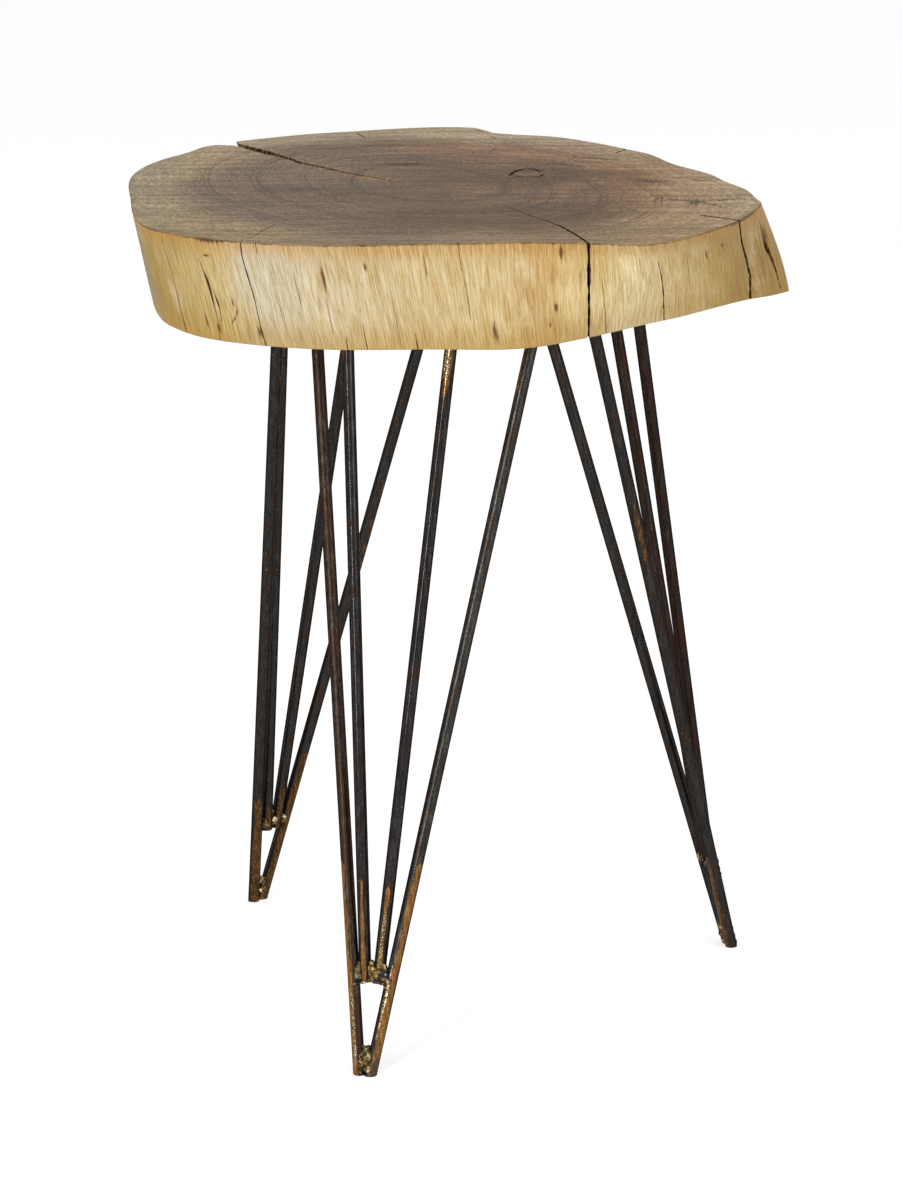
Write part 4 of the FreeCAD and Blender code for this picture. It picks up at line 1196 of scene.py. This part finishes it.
# %% Model each weld from its CAD node
def merged_copy(node, name):
    """A copy of a CAD node with its loose triangles joined."""
    bpy.ops.object.select_all(action="DESELECT")
    made = nodes[node].copy()
    made.data = nodes[node].data.copy()
    made.name = name
    for key in list(made.keys()):
        del made[key]
    bpy.context.scene.collection.objects.link(made)
    made.parent = None
    made.hide_render = False
    made.hide_set(False)
    made.select_set(True)
    bpy.context.view_layer.objects.active = made
    made.data.materials.clear()
    bpy.ops.object.mode_set(mode="EDIT")
    bpy.ops.mesh.select_all(action="SELECT")
    bpy.ops.mesh.remove_doubles(threshold=0.00001)
    bpy.ops.object.mode_set(mode="OBJECT")
    turn_faces_out()
    return made


BRIDGE_LUMPS = [  # across, out of the leg's plane and up from the weld's middle, radius in mm
    (-10.4, 3.0, 5.0, 3.2), (-10.2, 2.8, 0.2, 3.0), (-10.0, 2.6, 9.0, 2.4),
    (3.4, 4.6, 1.8, 3.3), (4.2, 4.8, 6.6, 2.6), (-5.4, 3.0, -5.4, 2.8),
    (-11.2, 2.2, -6.5, 2.5), (-0.4, 3.2, 7.6, 2.9), (0.4, 2.8, 2.6, 3.0),
    (-0.8, 2.8, 11.2, 2.2), (8.8, 3.4, 5.6, 3.4), (9.2, 2.4, 0.6, 2.8),
    (13.0, 3.6, 0.4, 2.7), (11.6, 2.4, -6.5, 2.6), (8.6, 2.8, 10.2, 2.3),
    (-10.2, -2.2, 4.0, 3.1), (-0.4, -2.4, 5.0, 3.1), (8.8, -2.2, 4.2, 3.3),
]
FOOT_LUMPS = [
    (0.0, 2.6, 7.0, 2.8), (-2.2, 3.2, 3.0, 3.0), (2.2, 3.2, 3.4, 2.9),
    (0.2, 2.8, -0.4, 2.8), (-3.4, 3.2, -2.0, 2.6), (3.4, 3.2, -2.6, 2.6),
    (-3.8, 3.4, -7.2, 2.4), (3.2, 3.4, -6.8, 2.6), (-3.4, 3.2, -4.8, 2.3),
    (0.0, -2.2, 5.6, 2.9), (0.6, -2.8, -0.6, 3.0), (-0.4, -2.6, -5.6, 2.6),
]
HALF_BRIDGE = 0.012  # half the bridge's width, from its middle
WEB_SHARE = 0.55  # the web is this much as thick as its CAD block, so the rods stand proud
SIDE_LIFT = 0.0036  # the bridge's lower edge is this far above its CAD block's, at its sides
ARCH = 0.0036  # and its middle is this much higher again


def lumpy_weld(node, voxel, lumps=()):
    """A weld with added lumps and a rounded, rippled skin."""
    made = merged_copy(node, node.replace("weld", "bead"))
    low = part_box(node)[0]
    middle, outwards, across = leg_sides(node)
    if lumps:
        for point in made.data.vertices:
            from_middle = point.co - middle
            proud = from_middle.dot(outwards) + LEG_LEAN * from_middle.z
            point.co -= outwards * (proud * (1 - WEB_SHARE))
    for side, out, up, size in lumps:
        bpy.ops.mesh.primitive_uv_sphere_add(segments=20, ring_count=12, radius=size / 1000,
                                             location=beside(node, side, out, up),
                                             scale=(1, 1, 1.2))
        bpy.ops.object.transform_apply(location=True, rotation=True, scale=True)
        made.select_set(True)
        bpy.context.view_layer.objects.active = made
        bpy.ops.object.join()
    remesh = made.modifiers.new("Skin", "REMESH")
    remesh.mode = "VOXEL"
    remesh.voxel_size = voxel
    soften = made.modifiers.new("Soften", "SMOOTH")
    soften.factor = 0.5
    soften.iterations = 5
    for modifier in list(made.modifiers):
        bpy.ops.object.modifier_apply(modifier=modifier.name)
    if "bridge" in node:
        skin = points_of(made.data)
        side = (skin - np.array(middle)) @ np.array(across) / HALF_BRIDGE
        lift = SIDE_LIFT + ARCH * np.clip(1 - side ** 2, 0, 1)
        below = np.clip((middle.z - skin[:, 2]) / (middle.z - low.z), 0, 1.2)
        skin[:, 2] += lift * below
        made.data.vertices.foreach_set("co", skin.ravel())
    for scale, depth in ((0.0024, 0.0013), (0.0010, 0.0006)):
        ripples = bpy.data.textures.new(f"{node}_ripples", "CLOUDS")
        ripples.noise_scale = scale
        ripple = made.modifiers.new("Ripples", "DISPLACE")
        ripple.texture = ripples
        ripple.texture_coords = "GLOBAL"
        ripple.strength = depth
        ripple.mid_level = 0.5
        bpy.ops.object.modifier_apply(modifier=ripple.name)
    bpy.ops.object.shade_smooth()
    made.data.materials.append(weld_steel)
    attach(made, "root")
    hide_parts(node)
    return made


for node in [name for name in nodes if "weld" in name]:
    lumps = BRIDGE_LUMPS if "bridge" in node else FOOT_LUMPS if "foot" in node else ()
    made = lumpy_weld(node, 0.0005 if lumps else 0.0007, lumps)
    print(made.name, len(made.data.polygons), "faces")

# %% [markdown]
# ## Plates and screws
# Each leg ends in a flat steel plate, cut from bar and finished with nothing but oil, held up
# into the wood by zinc plated screws. They show only from below, so the CAD solids stay and
# get their finishes: brown black steel with brushed scratches, and bright zinc with a
# faint bluish bloom.

# %% Plate and screw finishes
# oiled flat bar: brown black in clouds of 17 mm, rubbed in lines 1 mm apart, half bright
tree, shader, plate_steel = new_material("flat_bar_steel_oiled", Metallic=0.7)
place = add(tree, "TexCoord").outputs["Object"]
rub = drawn_out(tree, place, (40, 900, 40), turn=0.5)
colour = add(tree, "ValToRGB", add(tree, "TexNoise", place, 60, 4), stops=[
    (0.35, "#241f1c"), (0.55, "#3a2f28"), (0.70, "#6b4426")])
dull = add(tree, "MapRange", rub, 0.3, 0.7, 0.36, 0.56)
surface(tree, shader, colour, dull, rub, 0.0001, 0.5)

# zinc plate: bright metal with a faint bloom in spots of 3 mm
tree, shader, screw_zinc = new_material("zinc_plated_screw_steel", Metallic=1.0)
bloom = add(tree, "TexNoise", add(tree, "TexCoord").outputs["Object"], 300, 3)
colour = add(tree, "ValToRGB", bloom, stops=[
    (0.35, "#8f949b"), (0.52, "#a9adb3"), (0.70, "#c3c6ca")])
dull = add(tree, "MapRange", bloom, 0.3, 0.7, 0.24, 0.42)
surface(tree, shader, colour, dull, bloom, 0.0001, 0.3)
for name, node in nodes.items():
    if name.endswith("plate") or name.endswith("screws"):
        finish = plate_steel if name.endswith("plate") else screw_zinc
        node.data.materials.clear()
        node.data.materials.append(finish)
        print(name, "gets", finish.name)
